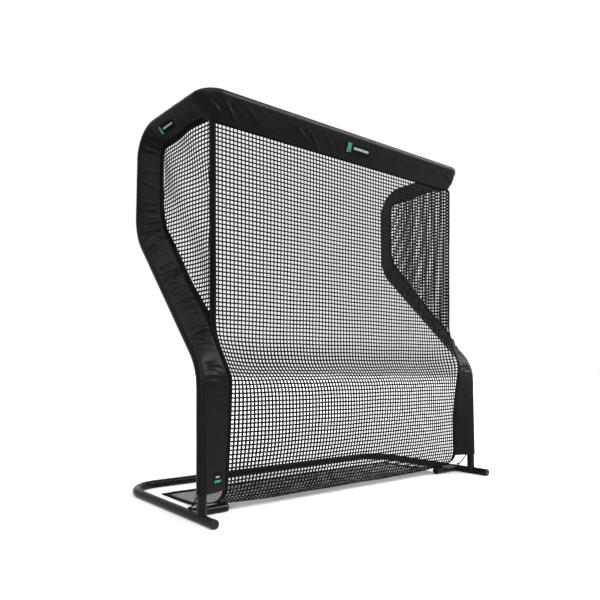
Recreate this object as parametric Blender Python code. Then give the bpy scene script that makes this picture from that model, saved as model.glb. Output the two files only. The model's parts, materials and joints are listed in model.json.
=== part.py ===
"""A free-standing golf practice net: a push-together tube frame on floor rails, fabric sleeves over
the upper tubes, and a net that hangs from the crossbar and runs on as a floor panel.

X is across the net, Y from its front (the crossbar's side) to its rear, Z up. The origin is on the
floor, in the middle of the bounding box. Everything is in metres.
"""

import math

import bmesh
import bpy
from mathutils import Matrix, Vector

# Driving dimensions
WIDTH = 2.440
DEPTH = 1.067
HEIGHT = 2.286
TUBE_R = 0.025
WALL = 0.0016
SIDES = 16
GAP = 0.0003
COPE_R = (TUBE_R + 1.5 * GAP) / math.cos(math.pi / SIDES)

# Floor frame
RAIL_X = WIDTH / 2 - TUBE_R
TIP_OVERHANG = 0.130
UPRIGHT_Y = TIP_OVERHANG - DEPTH / 2
REAR_BEND = 0.217
REAR_Y = DEPTH / 2 - TUBE_R
REAR_JOINT_X = 0.972
STUB_Y = UPRIGHT_Y + 0.133
STUB_END_X = 0.945
CAP_LIP = 0.005
CAP_PLUG = 0.016

# Side frame: the corners of the tube's centre line on the +X side, before rounding
SLEEVE_R = 0.0294
TOP_Z = HEIGHT - SLEEVE_R
FRAME_CORNERS = (
    (1.190, UPRIGHT_Y, TUBE_R),
    (1.182, UPRIGHT_Y + 0.014, 0.799),
    (1.153, UPRIGHT_Y + 0.779, 1.618),
    (1.141, UPRIGHT_Y + 0.771, TOP_Z),
    (1.115, UPRIGHT_Y + 0.074, TOP_Z),
    (0.0, UPRIGHT_Y + 0.074, TOP_Z),
)
FRAME_BENDS = (0.266, 0.291, 0.170, 0.102)
BEND_STEP = math.radians(15)

# Tube joints
SPIGOT = 0.060
TAPER = 0.003
SPIGOT_R = TUBE_R - WALL - 0.0004
BUTTON_R = 0.0045
BUTTON_RISE = 0.004
BUTTON_FROM_END = 0.028
HOLE_R = BUTTON_R + 0.0006
FOOT_TOP_Z = 0.240
POST_JOINT_Z = 1.960
CROSSBAR_JOINT_X = 0.900

# Sleeves and nets
SLEEVE_WALL = 0.0025
EDGE_HALF = 0.004
HEM_Z = 0.150
SLEEVE_ARC = 11
SLEEVE_STEP = 0.08
SLEEVE_SEAM_Y = UPRIGHT_Y + 0.380
TAPE_END_Y = UPRIGHT_Y + 0.175
TAPE = 0.033
TAPE_THICK = 0.003
NET_THICK = 0.002
NET_INSET = 0.004
SIDE_NET_SHRINK = 0.976
SEAM_TOP_X = 1.061
SEAM_TOP_Z = 2.106
SEAM_BOTTOM_X = 1.058
SEAM_BOTTOM_Z = 1.085
SIDE_NET_X = 1.060
SEAM_Y = UPRIGHT_Y + 0.099
PANEL_REAR_Y = UPRIGHT_Y + 0.705

# Labels: where the crossbar's one ends on the +X and on the -X half, and the lengths of the others
BAR_LABEL_ENDS = (0.143, 0.079)
SIDE_LABEL_Y = 0.575
SIDE_LABEL = 0.162
FOOT_LABEL_Z = 0.195
FOOT_LABEL = 0.060

# Tie cords
EYE_Y = UPRIGHT_Y + 0.105
EYE_R = 0.0068
EYE_WIRE = 0.0014
EYE_Z = 2 * TUBE_R + GAP + EYE_R + EYE_WIRE
CORD_R = 0.004
KNOT_R = 0.0072

# The inner edge of the sleeves on the +X side, where the nets are sewn on: from the hem up the
# lower pad, up the slope, up the rear, forward under the top rail and along the crossbar
EDGE_POINTS = (
    (1.008, UPRIGHT_Y + 0.029, HEM_Z),
    (0.993, UPRIGHT_Y + 0.025, 0.420),
    (0.997, UPRIGHT_Y + 0.006, 0.620),
    (1.003, UPRIGHT_Y - 0.008, 0.745),
    (1.028, UPRIGHT_Y + 0.000, 0.808),
    (1.051, UPRIGHT_Y + 0.065, 0.957),
    (1.058, UPRIGHT_Y + 0.094, 1.055),
    (1.060, UPRIGHT_Y + 0.295, 1.266),
    (1.060, UPRIGHT_Y + 0.497, 1.520),
    (1.060, UPRIGHT_Y + 0.600, 1.640),
    (1.060, UPRIGHT_Y + 0.638, 1.745),
    (1.060, UPRIGHT_Y + 0.642, 1.900),
    (1.060, UPRIGHT_Y + 0.640, 2.100),
    (1.060, UPRIGHT_Y + 0.618, 2.126),
    (1.060, UPRIGHT_Y + 0.474, 2.137),
    (1.060, UPRIGHT_Y + 0.254, 2.150),
    (1.058, UPRIGHT_Y + 0.140, 2.135),
    (1.010, UPRIGHT_Y + 0.095, 2.113),
    (0.0, UPRIGHT_Y + 0.095, 2.113),
)

# The bottom of the net's side edge, from the hem down, under and back along the floor
FLOOR_EDGE = (
    (1.008, UPRIGHT_Y + 0.036, 0.126),
    (1.008, UPRIGHT_Y + 0.060, 0.098),
    (1.008, UPRIGHT_Y + 0.110, 0.066),
    (1.009, UPRIGHT_Y + 0.200, 0.038),
    (1.010, UPRIGHT_Y + 0.340, 0.012),
    (1.010, UPRIGHT_Y + 0.480, 0.004),
    (1.010, PANEL_REAR_Y, 0.004),
)


def material(name, colour, roughness, metallic=0.0):
    made = bpy.data.materials.new(name)
    made.use_nodes = True
    shader = made.node_tree.nodes["Principled BSDF"]
    shader.inputs["Base Color"].default_value = (*colour, 1.0)
    shader.inputs["Roughness"].default_value = roughness
    shader.inputs["Metallic"].default_value = metallic
    return made


def clear_scene():
    for thing in list(bpy.data.objects):
        bpy.data.objects.remove(thing, do_unlink=True)


def object_from(name, points, faces, slot):
    """An object from points and faces, with its normals turned outward."""
    mesh = bpy.data.meshes.new(name)
    work = bmesh.new()
    corners = [work.verts.new(p) for p in points]
    for face in faces:
        work.faces.new([corners[i] for i in face])
    bmesh.ops.recalc_face_normals(work, faces=work.faces)
    work.to_mesh(mesh)
    work.free()
    mesh.materials.append(slot)
    mesh.shade_smooth()
    mesh.set_sharp_from_angle(angle=math.radians(35))
    made = bpy.data.objects.new(name, mesh)
    bpy.context.scene.collection.objects.link(made)
    return made


def ring_faces(count, first, second):
    """The quads between two rings that start at these point numbers."""
    for k in range(count):
        after = (k + 1) % count
        yield (first + k, first + after, second + after, second + k)


def shell(name, outer, inner, slot):
    """A closed wall between a row of outer rings and a row of inner rings, open at both ends."""
    count = len(outer[0])
    points = [p for ring in outer + inner for p in ring]
    faces = []
    for rings, start in ((outer, 0), (inner, len(outer) * count)):
        for i in range(len(rings) - 1):
            faces += ring_faces(count, start + i * count, start + (i + 1) * count)
    inner_start = len(outer) * count
    faces += ring_faces(count, 0, inner_start)
    faces += ring_faces(count, inner_start - count, len(points) - count)
    return object_from(name, points, faces, slot)


def solid(name, rings, slot):
    """A closed solid through a row of rings, with flat ends."""
    count = len(rings[0])
    points = [p for ring in rings for p in ring]
    faces = []
    for i in range(len(rings) - 1):
        faces += ring_faces(count, i * count, (i + 1) * count)
    faces.append(tuple(range(count)))
    faces.append(tuple(range(len(points) - count, len(points))))
    return object_from(name, points, faces, slot)


class Line:
    """A line in space with rounded corners. It is read by the distance along it."""

    def __init__(self, corners, radii, side_of):
        self.points = []
        self.tangents = []
        corners = [Vector(c) for c in corners]
        self.bends = []
        self._add(corners[0], (corners[1] - corners[0]).normalized())
        for corner, radius, before, after in zip(corners[1:], radii, corners, corners[2:]):
            self._add_arc(corner, radius, before, after)
        self._add(corners[-1], (corners[-1] - corners[-2]).normalized())
        self.along = [0.0]
        for a, b in zip(self.points, self.points[1:]):
            self.along.append(self.along[-1] + (b - a).length)
        self.length = self.along[-1]
        self.normals = [self._square(side_of, self.tangents[0])]
        for tangent in self.tangents[1:]:
            self.normals.append(self._square(self.normals[-1], tangent))

    @staticmethod
    def _square(direction, tangent):
        direction = Vector(direction)
        return (direction - tangent * direction.dot(tangent)).normalized()

    def _add(self, point, tangent):
        self.points.append(point)
        self.tangents.append(tangent)

    def _add_arc(self, corner, radius, before, after):
        incoming = (corner - before).normalized()
        outgoing = (after - corner).normalized()
        turn = incoming.angle(outgoing)
        start = corner - incoming * radius * math.tan(turn / 2)
        axis = incoming.cross(outgoing).normalized()
        centre = start + axis.cross(incoming) * radius
        steps = max(2, round(turn / BEND_STEP))
        self.bends.append(len(self.points))
        for k in range(steps + 1):
            swing = Matrix.Rotation(turn * k / steps, 3, axis)
            self._add(centre + swing @ (start - centre), swing @ incoming)
        self.bends.append(len(self.points) - 1)

    def at(self, distance):
        """The point, tangent and normal at a distance along the line."""
        distance = min(max(distance, 0.0), self.length)
        i = next(k for k in range(1, len(self.along)) if distance <= self.along[k] + 1e-9)
        part = (distance - self.along[i - 1]) / (self.along[i] - self.along[i - 1])
        tangent = self.tangents[i - 1].lerp(self.tangents[i], part).normalized()
        normal = self._square(self.normals[i - 1].lerp(self.normals[i], part), tangent)
        return self.points[i - 1].lerp(self.points[i], part), tangent, normal

    def where(self, axis, value, first=0.0):
        """The distance at which a coordinate first passes a value, beyond a given distance."""
        for i in range(1, len(self.points)):
            a = self.points[i - 1][axis]
            b = self.points[i][axis]
            if self.along[i] > first and (a - value) * (b - value) <= 0 and a != b:
                found = self.along[i - 1] + (value - a) / (b - a) * (self.along[i] - self.along[i - 1])
                if found >= first:
                    return found
        raise ValueError(f"the line doesn't reach {value}")

    def marks(self, start, end, step=10.0):
        """Distances from start to end: both ends, the bends' points, and others at most a step apart."""
        fixed = [start] + [d for d in self.along if start + 0.002 < d < end - 0.002] + [end]
        found = [start]
        for a, b in zip(fixed, fixed[1:]):
            pieces = math.ceil((b - a) / step - 1e-6)
            found += [a + (b - a) * (k + 1) / pieces for k in range(pieces)]
        return found


def mirrored(points, side):
    return [Vector((p.x * side, p.y, p.z)) for p in points]


def tube_ring(line, distance, flat_radius):
    """A ring of the tube whose flats are this far from the line. One flat faces the normal."""
    point, tangent, normal = line.at(distance)
    across = tangent.cross(normal)
    radius = flat_radius / math.cos(math.pi / SIDES)
    ring = []
    for k in range(SIDES):
        turn = 2 * math.pi * (k + 0.5) / SIDES
        ring.append(point + normal * radius * math.cos(turn) + across * radius * math.sin(turn))
    return ring


def tube(name, line, start, end, slot, side=1, spigot_at=None):
    """A length of tube. spigot_at is "end" or "start" where it is swaged down to fit its neighbour."""
    outer = [(d, TUBE_R) for d in line.marks(start, end)]
    inner = [(d, TUBE_R - WALL) for d in line.marks(start, end)]
    if spigot_at == "end":
        outer += [(end + TAPER, SPIGOT_R), (end + SPIGOT, SPIGOT_R)]
        inner[-1] = (end - TAPER, TUBE_R - WALL)
        inner += [(end, SPIGOT_R - WALL), (end + SPIGOT, SPIGOT_R - WALL)]
    if spigot_at == "start":
        outer = [(start - SPIGOT, SPIGOT_R), (start - TAPER, SPIGOT_R)] + outer
        inner[0] = (start + TAPER, TUBE_R - WALL)
        inner = [(start - SPIGOT, SPIGOT_R - WALL), (start, SPIGOT_R - WALL)] + inner
    outer_rings = [mirrored(tube_ring(line, d, r), side) for d, r in outer]
    inner_rings = [mirrored(tube_ring(line, d, r), side) for d, r in inner]
    return shell(name, outer_rings, inner_rings, slot)


def rod(name, points, radii, slot, sides=8):
    """A solid round rod through the points, with its own radius at each."""
    points = [Vector(p) for p in points]
    rings = []
    for i, (point, radius) in enumerate(zip(points, radii)):
        ahead = points[min(i + 1, len(points) - 1)]
        behind = points[max(i - 1, 0)]
        tangent = (ahead - behind).normalized()
        normal = Line._square((1, 0, 0), tangent)
        across = tangent.cross(normal)
        turns = [2 * math.pi * k / sides for k in range(sides)]
        rings.append([point + (normal * math.cos(t) + across * math.sin(t)) * radius for t in turns])
    return solid(name, rings, slot)


def hide_cutter(cutter):
    cutter.hide_render = True
    cutter.display_type = "WIRE"


def cut(target, cutter, operation="DIFFERENCE"):
    hide_cutter(cutter)
    boolean = target.modifiers.new(cutter.name, "BOOLEAN")
    boolean.operation = operation
    boolean.object = cutter


def cylinder(name, centre, axis, radius, length, slot, sides=SIDES):
    """A plain cylinder about a point. One flat faces up, or +X where the axis is upright."""
    axis = Vector(axis).normalized()
    normal = Line._square((0, 0, 1) if abs(axis.z) < 0.9 else (1, 0, 0), axis)
    across = axis.cross(normal)
    rings = []
    for end in (-0.5, 0.5):
        base = Vector(centre) + axis * length * end
        turns = [2 * math.pi * (k + 0.5) / sides for k in range(sides)]
        rings.append([base + (normal * math.cos(t) + across * math.sin(t)) * radius for t in turns])
    return solid(name, rings, slot)


def button_hole(target, point, outward, slot):
    """A round hole through one wall of a tube."""
    middle = Vector(point) + Vector(outward) * TUBE_R
    cut(target, cylinder(f"{target.name}.hole", middle, outward, HOLE_R, 0.016, slot, sides=12))


def snap_clip(name, point, outward, along, slot):
    """A spring clip: a round button on the end of a V of flat spring. Its origin is the button's middle."""
    outward = Vector(outward).normalized()
    along = Vector(along).normalized()
    across = outward.cross(along)
    base = 0.0150
    thick = 0.0009
    half_wide = 0.0040
    reach = 0.042
    far = -0.0130
    outline = (
        (-0.007, base), (reach - 0.006, base - 0.002), (reach, base - 0.010), (reach - 0.006, -0.004),
        (0.004, far), (0.004, far - thick), (reach - 0.005, -0.0055), (reach + thick, base - 0.011),
        (reach - 0.005, base - 0.002 + thick), (-0.007, base + thick),
    )
    faces_at = []
    for side in (-1, 1):
        faces_at.append([along * a + outward * o + across * half_wide * side for a, o in outline])
    count = len(outline)
    faces = list(ring_faces(count, 0, count)) + [tuple(range(count)), tuple(range(count, 2 * count))]
    clip = object_from(name, faces_at[0] + faces_at[1], faces, slot)
    clip.location = point
    rings = []
    profile = ((base + thick / 2, BUTTON_R), (TUBE_R + BUTTON_RISE - 0.0015, BUTTON_R),
               (TUBE_R + BUTTON_RISE, BUTTON_R * 0.6))
    for height, radius in profile:
        turns = [2 * math.pi * (k + 0.5) / 10 for k in range(10)]
        ring = [along * math.cos(t) * radius + across * math.sin(t) * radius for t in turns]
        rings.append([outward * height + p for p in ring])
    button = solid(f"{name}.button", rings, slot)
    button.location = point
    cut(clip, button, "UNION")
    return clip


def end_cap(name, mouth, outward, slot):
    """A plastic plug in a tube's end with a lip as wide as the tube."""
    outward = Vector(outward).normalized()
    normal = Line._square((0, 0, 1), outward)
    across = outward.cross(normal)
    plug_r = TUBE_R - WALL - 0.0004
    lip_r = TUBE_R - 0.0003
    profile = ((-CAP_PLUG, plug_r - 0.0015), (-CAP_PLUG + 0.003, plug_r), (GAP, plug_r), (GAP, lip_r),
               (CAP_LIP - 0.002, lip_r), (CAP_LIP, lip_r - 0.004))
    rings = []
    for height, flat_radius in profile:
        radius = flat_radius / math.cos(math.pi / SIDES)
        turns = [2 * math.pi * (k + 0.5) / SIDES for k in range(SIDES)]
        ring = [normal * math.cos(t) * radius + across * math.sin(t) * radius for t in turns]
        rings.append([Vector(mouth) + outward * height + p for p in ring])
    return solid(name, rings, slot)


# The lines that the tubes follow, on the +X side
FRAME_LINE = Line(FRAME_CORNERS, FRAME_BENDS, (0, 1, 0))
RAIL_LINE = Line(
    ((RAIL_X, CAP_LIP - DEPTH / 2, TUBE_R), (RAIL_X, REAR_Y, TUBE_R), (0, REAR_Y, TUBE_R)),
    (REAR_BEND,),
    (0, 0, 1),
)
STUB_LINE = Line(((RAIL_X, STUB_Y, TUBE_R), (STUB_END_X + CAP_LIP, STUB_Y, TUBE_R)), (), (0, 0, 1))

# Distances along the frame's line
TOP_RAIL = FRAME_LINE.along[FRAME_LINE.bends[5]]
SLEEVE_CUT = FRAME_LINE.where(1, SLEEVE_SEAM_Y, TOP_RAIL)
TAPE_START = FRAME_LINE.where(1, TAPE_END_Y, TOP_RAIL)


def edge_line():
    """The sleeves' inner edge as short straight pieces."""
    points = [Vector(p) for p in EDGE_POINTS]
    fine = []
    for a, b in zip(points, points[1:]):
        pieces = max(1, math.ceil((b - a).length / 0.004))
        fine += [a.lerp(b, k / pieces) for k in range(pieces)]
    return fine + [points[-1]]


EDGE_FINE = edge_line()


def edge_beside(point, tangent):
    """The point of the sleeves' inner edge that lies straight across the tube's line at a point."""
    near = [p for p in EDGE_FINE if (p - point).length < 0.24]
    return min(near, key=lambda p: abs((p - point).dot(tangent)) + 0.02 * (p - point).length)


def sleeve_ring(distance, side, radius, half, tip_back):
    """A drop-shaped ring: round the tube, and drawn out to an edge that the net is sewn to."""
    centre, tangent, _ = FRAME_LINE.at(distance)
    edge = edge_beside(centre, tangent)
    across = Line._square(edge - centre, tangent)
    lift = tangent.cross(across)
    reach = edge - (edge - centre).normalized() * tip_back
    spread = math.radians(82)
    turns = [spread + (2 * math.pi - 2 * spread) * k / (SLEEVE_ARC - 1) for k in range(SLEEVE_ARC)]
    ring = [centre + (across * math.cos(t) + lift * math.sin(t)) * radius for t in turns]
    ring += [reach - lift * half, reach + lift * half]
    return mirrored(ring, side)


def sleeve_rings(start, end, side):
    """The outer and inner rings of a sleeve between two distances along the frame's line."""
    outer = []
    inner = []
    marks = FRAME_LINE.marks(start, min(end, TAPE_START), SLEEVE_STEP)
    if end > TAPE_START:
        marks += FRAME_LINE.marks(TAPE_START + TAPE / 2, end, SLEEVE_STEP)
    for distance in marks:
        back = TAPE + 2 * GAP if distance <= TAPE_START else 0.0
        outer.append(sleeve_ring(distance, side, SLEEVE_R, EDGE_HALF, back))
        inner_r = SLEEVE_R - SLEEVE_WALL
        inner.append(sleeve_ring(distance, side, inner_r, EDGE_HALF - SLEEVE_WALL, back + 0.012))
    return outer, inner


def side_sleeve(name, side, slot):
    start = FRAME_LINE.where(2, HEM_Z)
    outer, inner = sleeve_rings(start, SLEEVE_CUT - GAP, side)
    return shell(name, outer, inner, slot)


def crossbar_sleeve(slot):
    """The sleeve over the crossbar and round both front corners to the side sleeves."""
    outer, inner = sleeve_rings(SLEEVE_CUT + GAP, FRAME_LINE.length, 1)
    left_outer, left_inner = sleeve_rings(SLEEVE_CUT + GAP, FRAME_LINE.length, -1)
    outer += left_outer[-2::-1]
    inner += left_inner[-2::-1]
    return shell("crossbar_sleeve", outer, inner, slot)


def band_ring(inner_edge, outward, lift, width):
    """Four corners of a flat tape whose inner edge lies on a point."""
    half = TAPE_THICK / 2
    far = inner_edge + outward * width
    return [inner_edge - lift * half, inner_edge + lift * half, far + lift * half, far - lift * half]


def edge_tape(name, side, slot):
    """The tape along a side sleeve's inner edge, from the top front corner down, and along the floor."""
    rings = []
    for distance in reversed(FRAME_LINE.marks(FRAME_LINE.where(2, HEM_Z), TAPE_START, SLEEVE_STEP)):
        centre, tangent, _ = FRAME_LINE.at(distance)
        edge = edge_beside(centre, tangent)
        outward = (centre - edge).normalized()
        lift = Line._square(tangent.cross(-outward), outward)
        rings.append(band_ring(edge, outward, lift, TAPE))
    floor = [Vector(p) for p in FLOOR_EDGE]
    for i, point in enumerate(floor):
        ahead = floor[min(i + 1, len(floor) - 1)]
        behind = floor[max(i - 1, 0)]
        lift = Vector((1, 0, 0)).cross((behind - ahead).normalized()) * -1
        rings.append(band_ring(point, Vector((1, 0, 0)), -lift, TAPE))
    return solid(name, [mirrored(ring, side) for ring in rings], slot)


def seam_webbing(name, side, slot):
    """The upright band between the main net and a side net."""
    rings = []
    for z, x in ((SEAM_TOP_Z, SEAM_TOP_X), (SEAM_BOTTOM_Z, SEAM_BOTTOM_X)):
        corners = ((-TAPE / 2, 0), (TAPE / 2, 0), (TAPE / 2, TAPE_THICK), (-TAPE / 2, TAPE_THICK))
        rings.append([Vector((x + dx, SEAM_Y - TAPE_THICK / 2 + dy, z)) for dx, dy in corners])
    return solid(name, [mirrored(ring, side) for ring in rings], slot)


def net_profile():
    """Half width, Y and Z of the main net from the crossbar down, under and back to the rear hem."""
    top_half = SEAM_TOP_X - TAPE / 2 - 3 * GAP
    bottom_half = SEAM_BOTTOM_X - TAPE / 2 - 3 * GAP
    rows = [(top_half, SEAM_Y, SEAM_TOP_Z), (bottom_half, SEAM_Y, SEAM_BOTTOM_Z + 0.01)]
    for x, edge_y, z in reversed(EDGE_POINTS[:6]):
        rows.append((x - NET_INSET, edge_y, z))
    for x, edge_y, z in FLOOR_EDGE:
        rows.append((x - NET_INSET, edge_y, z))
    rows[-1] = (rows[-1][0], PANEL_REAR_Y - TAPE - 2 * GAP, rows[-1][2])
    return rows


def main_net(slot):
    """The back drop and the floor panel as one thin sheet."""
    rows = net_profile()
    rings = []
    for i, (half, y, z) in enumerate(rows):
        ahead = rows[min(i + 1, len(rows) - 1)]
        behind = rows[max(i - 1, 0)]
        run = Vector((0, ahead[1] - behind[1], ahead[2] - behind[2])).normalized()
        off = Vector((0, -run.z, run.y)) * NET_THICK / 2
        left = Vector((-half, y, z))
        right = Vector((half, y, z))
        rings.append([left - off, right - off, right + off, left + off])
    return solid("main_net", rings, slot)


def side_net(name, side, slot):
    """A flat panel between the seam webbing and the edge of a side sleeve."""
    front = SEAM_Y + TAPE_THICK / 2 + 2 * GAP
    outline = [(y, z) for _, y, z in EDGE_POINTS[6:17]]
    outline[0] = (front + 0.012, 1.100)
    outline[-1] = (TAPE_END_Y, 2.139)
    outline = [(front, 1.094)] + outline + [(front, 2.104)]
    middle = Vector((0, UPRIGHT_Y + 0.35, 1.72))
    rings = []
    for x in (SIDE_NET_X - NET_THICK / 2, SIDE_NET_X + NET_THICK / 2):
        ring = []
        for y, z in outline:
            shrunk = middle + (Vector((0, y, z)) - middle) * SIDE_NET_SHRINK
            ring.append(Vector((x, max(shrunk.y, front), shrunk.z)))
        rings.append(mirrored(ring, side))
    return solid(name, rings, slot)


def rear_hem(slot):
    """The tape across the rear of the floor panel, between the two side tapes."""
    half = FLOOR_EDGE[-1][0] - 2 * GAP
    z = FLOOR_EDGE[-1][2]
    rings = []
    for x in (-half, half):
        corner = Vector((x, PANEL_REAR_Y - TAPE, z - TAPE_THICK / 2))
        up = Vector((0, 0, TAPE_THICK))
        back = Vector((0, TAPE - GAP, 0))
        rings.append([corner, corner + up, corner + up + back, corner + back])
    return solid("rear_hem_tape", rings, slot)


def label(name, first, last, low, high, slot):
    """A thin label on a sleeve's outer flat side. Its ends are a distance and a side each. low and
    high are shares of the way from the tube to the sleeve's edge."""
    rings = []
    for distance, side in (first, last):
        ring = sleeve_ring(distance, side, SLEEVE_R, EDGE_HALF, 0.0)
        rings.append([ring[0].lerp(ring[-1], low), ring[0].lerp(ring[-1], high)])
    along = (rings[1][0] - rings[0][0]).normalized()
    face = along.cross(rings[0][1] - rings[0][0]).normalized()
    centre, tangent, _ = FRAME_LINE.at(first[0])
    inside = mirrored([centre.lerp(edge_beside(centre, tangent), 0.5)], first[1])[0]
    if face.dot(rings[0][0] - inside) < 0:
        face = -face
    lift = face * 0.0012
    thick = face * 0.0010
    loops = [[a + lift, b + lift, b + lift + thick, a + lift + thick] for a, b in rings]
    return solid(name, loops, slot)


def cord_eye(name, side, slot):
    """A small welded ring on top of a rail, for the tie cord."""
    centre = Vector((RAIL_X, EYE_Y, EYE_Z))
    points = []
    faces = []
    around = 12
    wire = 6
    for i in range(around):
        a = 2 * math.pi * i / around
        spoke = Vector((math.cos(a), 0, math.sin(a)))
        for k in range(wire):
            b = 2 * math.pi * k / wire
            off = Vector((0, EYE_WIRE * math.sin(b), 0))
            points.append(centre + spoke * (EYE_R + EYE_WIRE * math.cos(b)) + off)
    for i in range(around):
        faces += ring_faces(wire, i * wire, (i + 1) % around * wire)
    return object_from(name, mirrored(points, side), faces, slot)


def tie_cord(name, side, slot):
    """An elastic cord from the sleeve's hem to the eye, with a stopper knot behind the eye."""
    points = [
        Vector((1.189, UPRIGHT_Y + 0.031, HEM_Z - 0.003)),
        Vector((1.191, UPRIGHT_Y + 0.052, 0.119)),
        Vector((1.193, UPRIGHT_Y + 0.077, 0.086)),
        Vector((RAIL_X, EYE_Y - 0.010, EYE_Z + 0.003)),
        Vector((RAIL_X, EYE_Y + 0.004, EYE_Z)),
        Vector((RAIL_X, EYE_Y + 0.006, EYE_Z)),
        Vector((RAIL_X, EYE_Y + 0.012, EYE_Z)),
        Vector((RAIL_X, EYE_Y + 0.016, EYE_Z)),
    ]
    radii = [CORD_R] * 5 + [KNOT_R * 0.8, KNOT_R, KNOT_R * 0.6]
    return rod(name, mirrored(points, side), radii, slot)


def side_name(stem, side):
    return f"{stem}_{'right' if side > 0 else 'left'}"


def crossing(vector, side):
    return Vector((vector[0] * side, vector[1], vector[2]))


def floor_frame(steel, plastic, spring):
    """The rails with their stubs, caps and clips, and the tube that joins them at the rear."""
    rail_end = RAIL_LINE.where(0, REAR_JOINT_X, 0.5)
    bar_end = rail_end + TAPER + GAP
    mouth = tube_ring(RAIL_LINE, bar_end, TUBE_R)
    bore = tube_ring(RAIL_LINE, bar_end, TUBE_R - WALL)
    bar = shell("rear_cross_tube", [mouth, mirrored(mouth, -1)], [bore, mirrored(bore, -1)], steel)
    for side in (1, -1):
        rail = tube(side_name("base_rail", side), RAIL_LINE, 0.0, rail_end, steel, side, "end")
        point, tangent, _ = RAIL_LINE.at(bar_end + BUTTON_FROM_END)
        button_hole(bar, crossing(point, side), (0, 0, 1), steel)
        button_hole(rail, crossing(point, side) - Vector((0, 0, TUBE_R - SPIGOT_R)), (0, 0, 1), steel)
        snap_clip(side_name("snap_clip_rear", side), crossing(point, side), (0, 0, 1),
                  crossing(-tangent, side), spring)
        tip = Vector((RAIL_X * side, CAP_LIP - DEPTH / 2, TUBE_R))
        end_cap(side_name("rail_cap", side), tip, (0, -1, 0), plastic)
        stub = tube(side_name("foot_stub", side), STUB_LINE, 0.0, STUB_LINE.length, steel, side)
        cut(stub, cylinder(f"{stub.name}.cope", (RAIL_X * side, STUB_Y, TUBE_R), (0, 1, 0),
                           COPE_R, 0.2, steel))
        mouth = Vector(((STUB_END_X + CAP_LIP) * side, STUB_Y, TUBE_R))
        end_cap(side_name("stub_cap", side), mouth, (-side, 0, 0), plastic)


def side_frame(side, steel, spring):
    """The tubes of one side from the rail to the crossbar's middle, and the clips at their joints."""
    foot_top = FRAME_LINE.where(2, FOOT_TOP_Z)
    slope_joint = (FRAME_LINE.along[FRAME_LINE.bends[1]] + FRAME_LINE.along[FRAME_LINE.bends[2]]) / 2
    post_joint = FRAME_LINE.where(2, POST_JOINT_Z)
    bar_joint = FRAME_LINE.where(0, CROSSBAR_JOINT_X, TOP_RAIL)
    joints = (foot_top, slope_joint, post_joint, bar_joint)
    stems = ("upright_foot", "upright", "slope_post", "top_corner")
    begin = 0.0
    pieces = []
    for stem, joint in zip(stems, joints):
        pieces.append(tube(side_name(stem, side), FRAME_LINE, begin, joint, steel, side, "end"))
        begin = joint + TAPER + GAP
    middle = FRAME_LINE.length
    if side > 0:
        bar = tube("crossbar_right", FRAME_LINE, begin, middle - GAP, steel, side)
    else:
        bar = middle_spigot_tube("crossbar_left", begin, steel)
    pieces.append(bar)
    foot = pieces[0]
    cut(foot, cylinder(f"{foot.name}.cope", (RAIL_X * side, UPRIGHT_Y, TUBE_R), (0, 1, 0),
                       COPE_R, 0.2, steel))
    names = ("snap_clip_foot", "snap_clip_slope", "snap_clip_post", "snap_clip_bar")
    for i, (stem, joint) in enumerate(zip(names, joints)):
        at = joint + TAPER + GAP + BUTTON_FROM_END
        point, tangent, _ = FRAME_LINE.at(at)
        outward = Line._square(edge_beside(point, tangent) - point, tangent)
        outward = nearest_flat(at, outward)
        place = crossing(point, side)
        facing = crossing(outward, side)
        button_hole(pieces[i], place - facing * (TUBE_R - SPIGOT_R), facing, steel)
        button_hole(pieces[i + 1], place, facing, steel)
        snap_clip(side_name(stem, side), place, facing, crossing(-tangent, side), spring)
    return pieces


def nearest_flat(distance, direction):
    """The outward direction of the tube's flat that faces most nearly one way."""
    _, tangent, normal = FRAME_LINE.at(distance)
    across = tangent.cross(normal)
    turns = [2 * math.pi * k / SIDES for k in range(SIDES)]
    flats = [normal * math.cos(t) + across * math.sin(t) for t in turns]
    return max(flats, key=lambda f: f.dot(direction))


def middle_spigot_tube(name, begin, slot):
    """The left half of the crossbar, swaged down at the middle to enter the right half."""
    middle = FRAME_LINE.length
    direction = Vector((1, 0, 0))
    end = middle - TAPER - GAP
    outer = [(begin, TUBE_R), (end, TUBE_R), (middle - GAP, SPIGOT_R), (middle + SPIGOT, SPIGOT_R)]
    inner = [(begin, TUBE_R - WALL), (end - TAPER, TUBE_R - WALL), (end, SPIGOT_R - WALL),
             (middle + SPIGOT, SPIGOT_R - WALL)]
    rings = []
    for rows in (outer, inner):
        made = []
        for distance, radius in rows:
            inside = min(distance, middle)
            ring = mirrored(tube_ring(FRAME_LINE, inside, radius), -1)
            made.append([p + direction * (distance - inside) for p in ring])
        rings.append(made)
    return shell(name, rings[0], rings[1], slot)


def main():
    clear_scene()
    steel = material("black_powder_coat", (0.016, 0.017, 0.018), 0.42, 0.4)
    plastic = material("black_plastic", (0.012, 0.012, 0.013), 0.5)
    spring = material("spring_steel", (0.45, 0.46, 0.47), 0.35, 1.0)
    cover = material("black_cover_fabric", (0.014, 0.015, 0.016), 0.6)
    webbing = material("black_webbing", (0.008, 0.008, 0.009), 0.8)
    netting = material("black_netting", (0.01, 0.01, 0.011), 0.75)
    patch = material("woven_label", (0.03, 0.09, 0.06), 0.8)
    floor_frame(steel, plastic, spring)
    for side in (1, -1):
        side_frame(side, steel, spring)
        side_sleeve(side_name("side_sleeve", side), side, cover)
        edge_tape(side_name("net_edge_tape", side), side, webbing)
        seam_webbing(side_name("seam_webbing", side), side, webbing)
        side_net(side_name("side_net", side), side, netting)
        cord_eye(side_name("cord_eye", side), side, steel)
        tie_cord(side_name("tie_cord", side), side, webbing)
    middle_button(steel, spring)
    crossbar_sleeve(cover)
    main_net(netting)
    rear_hem(webbing)
    labels(patch)


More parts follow.
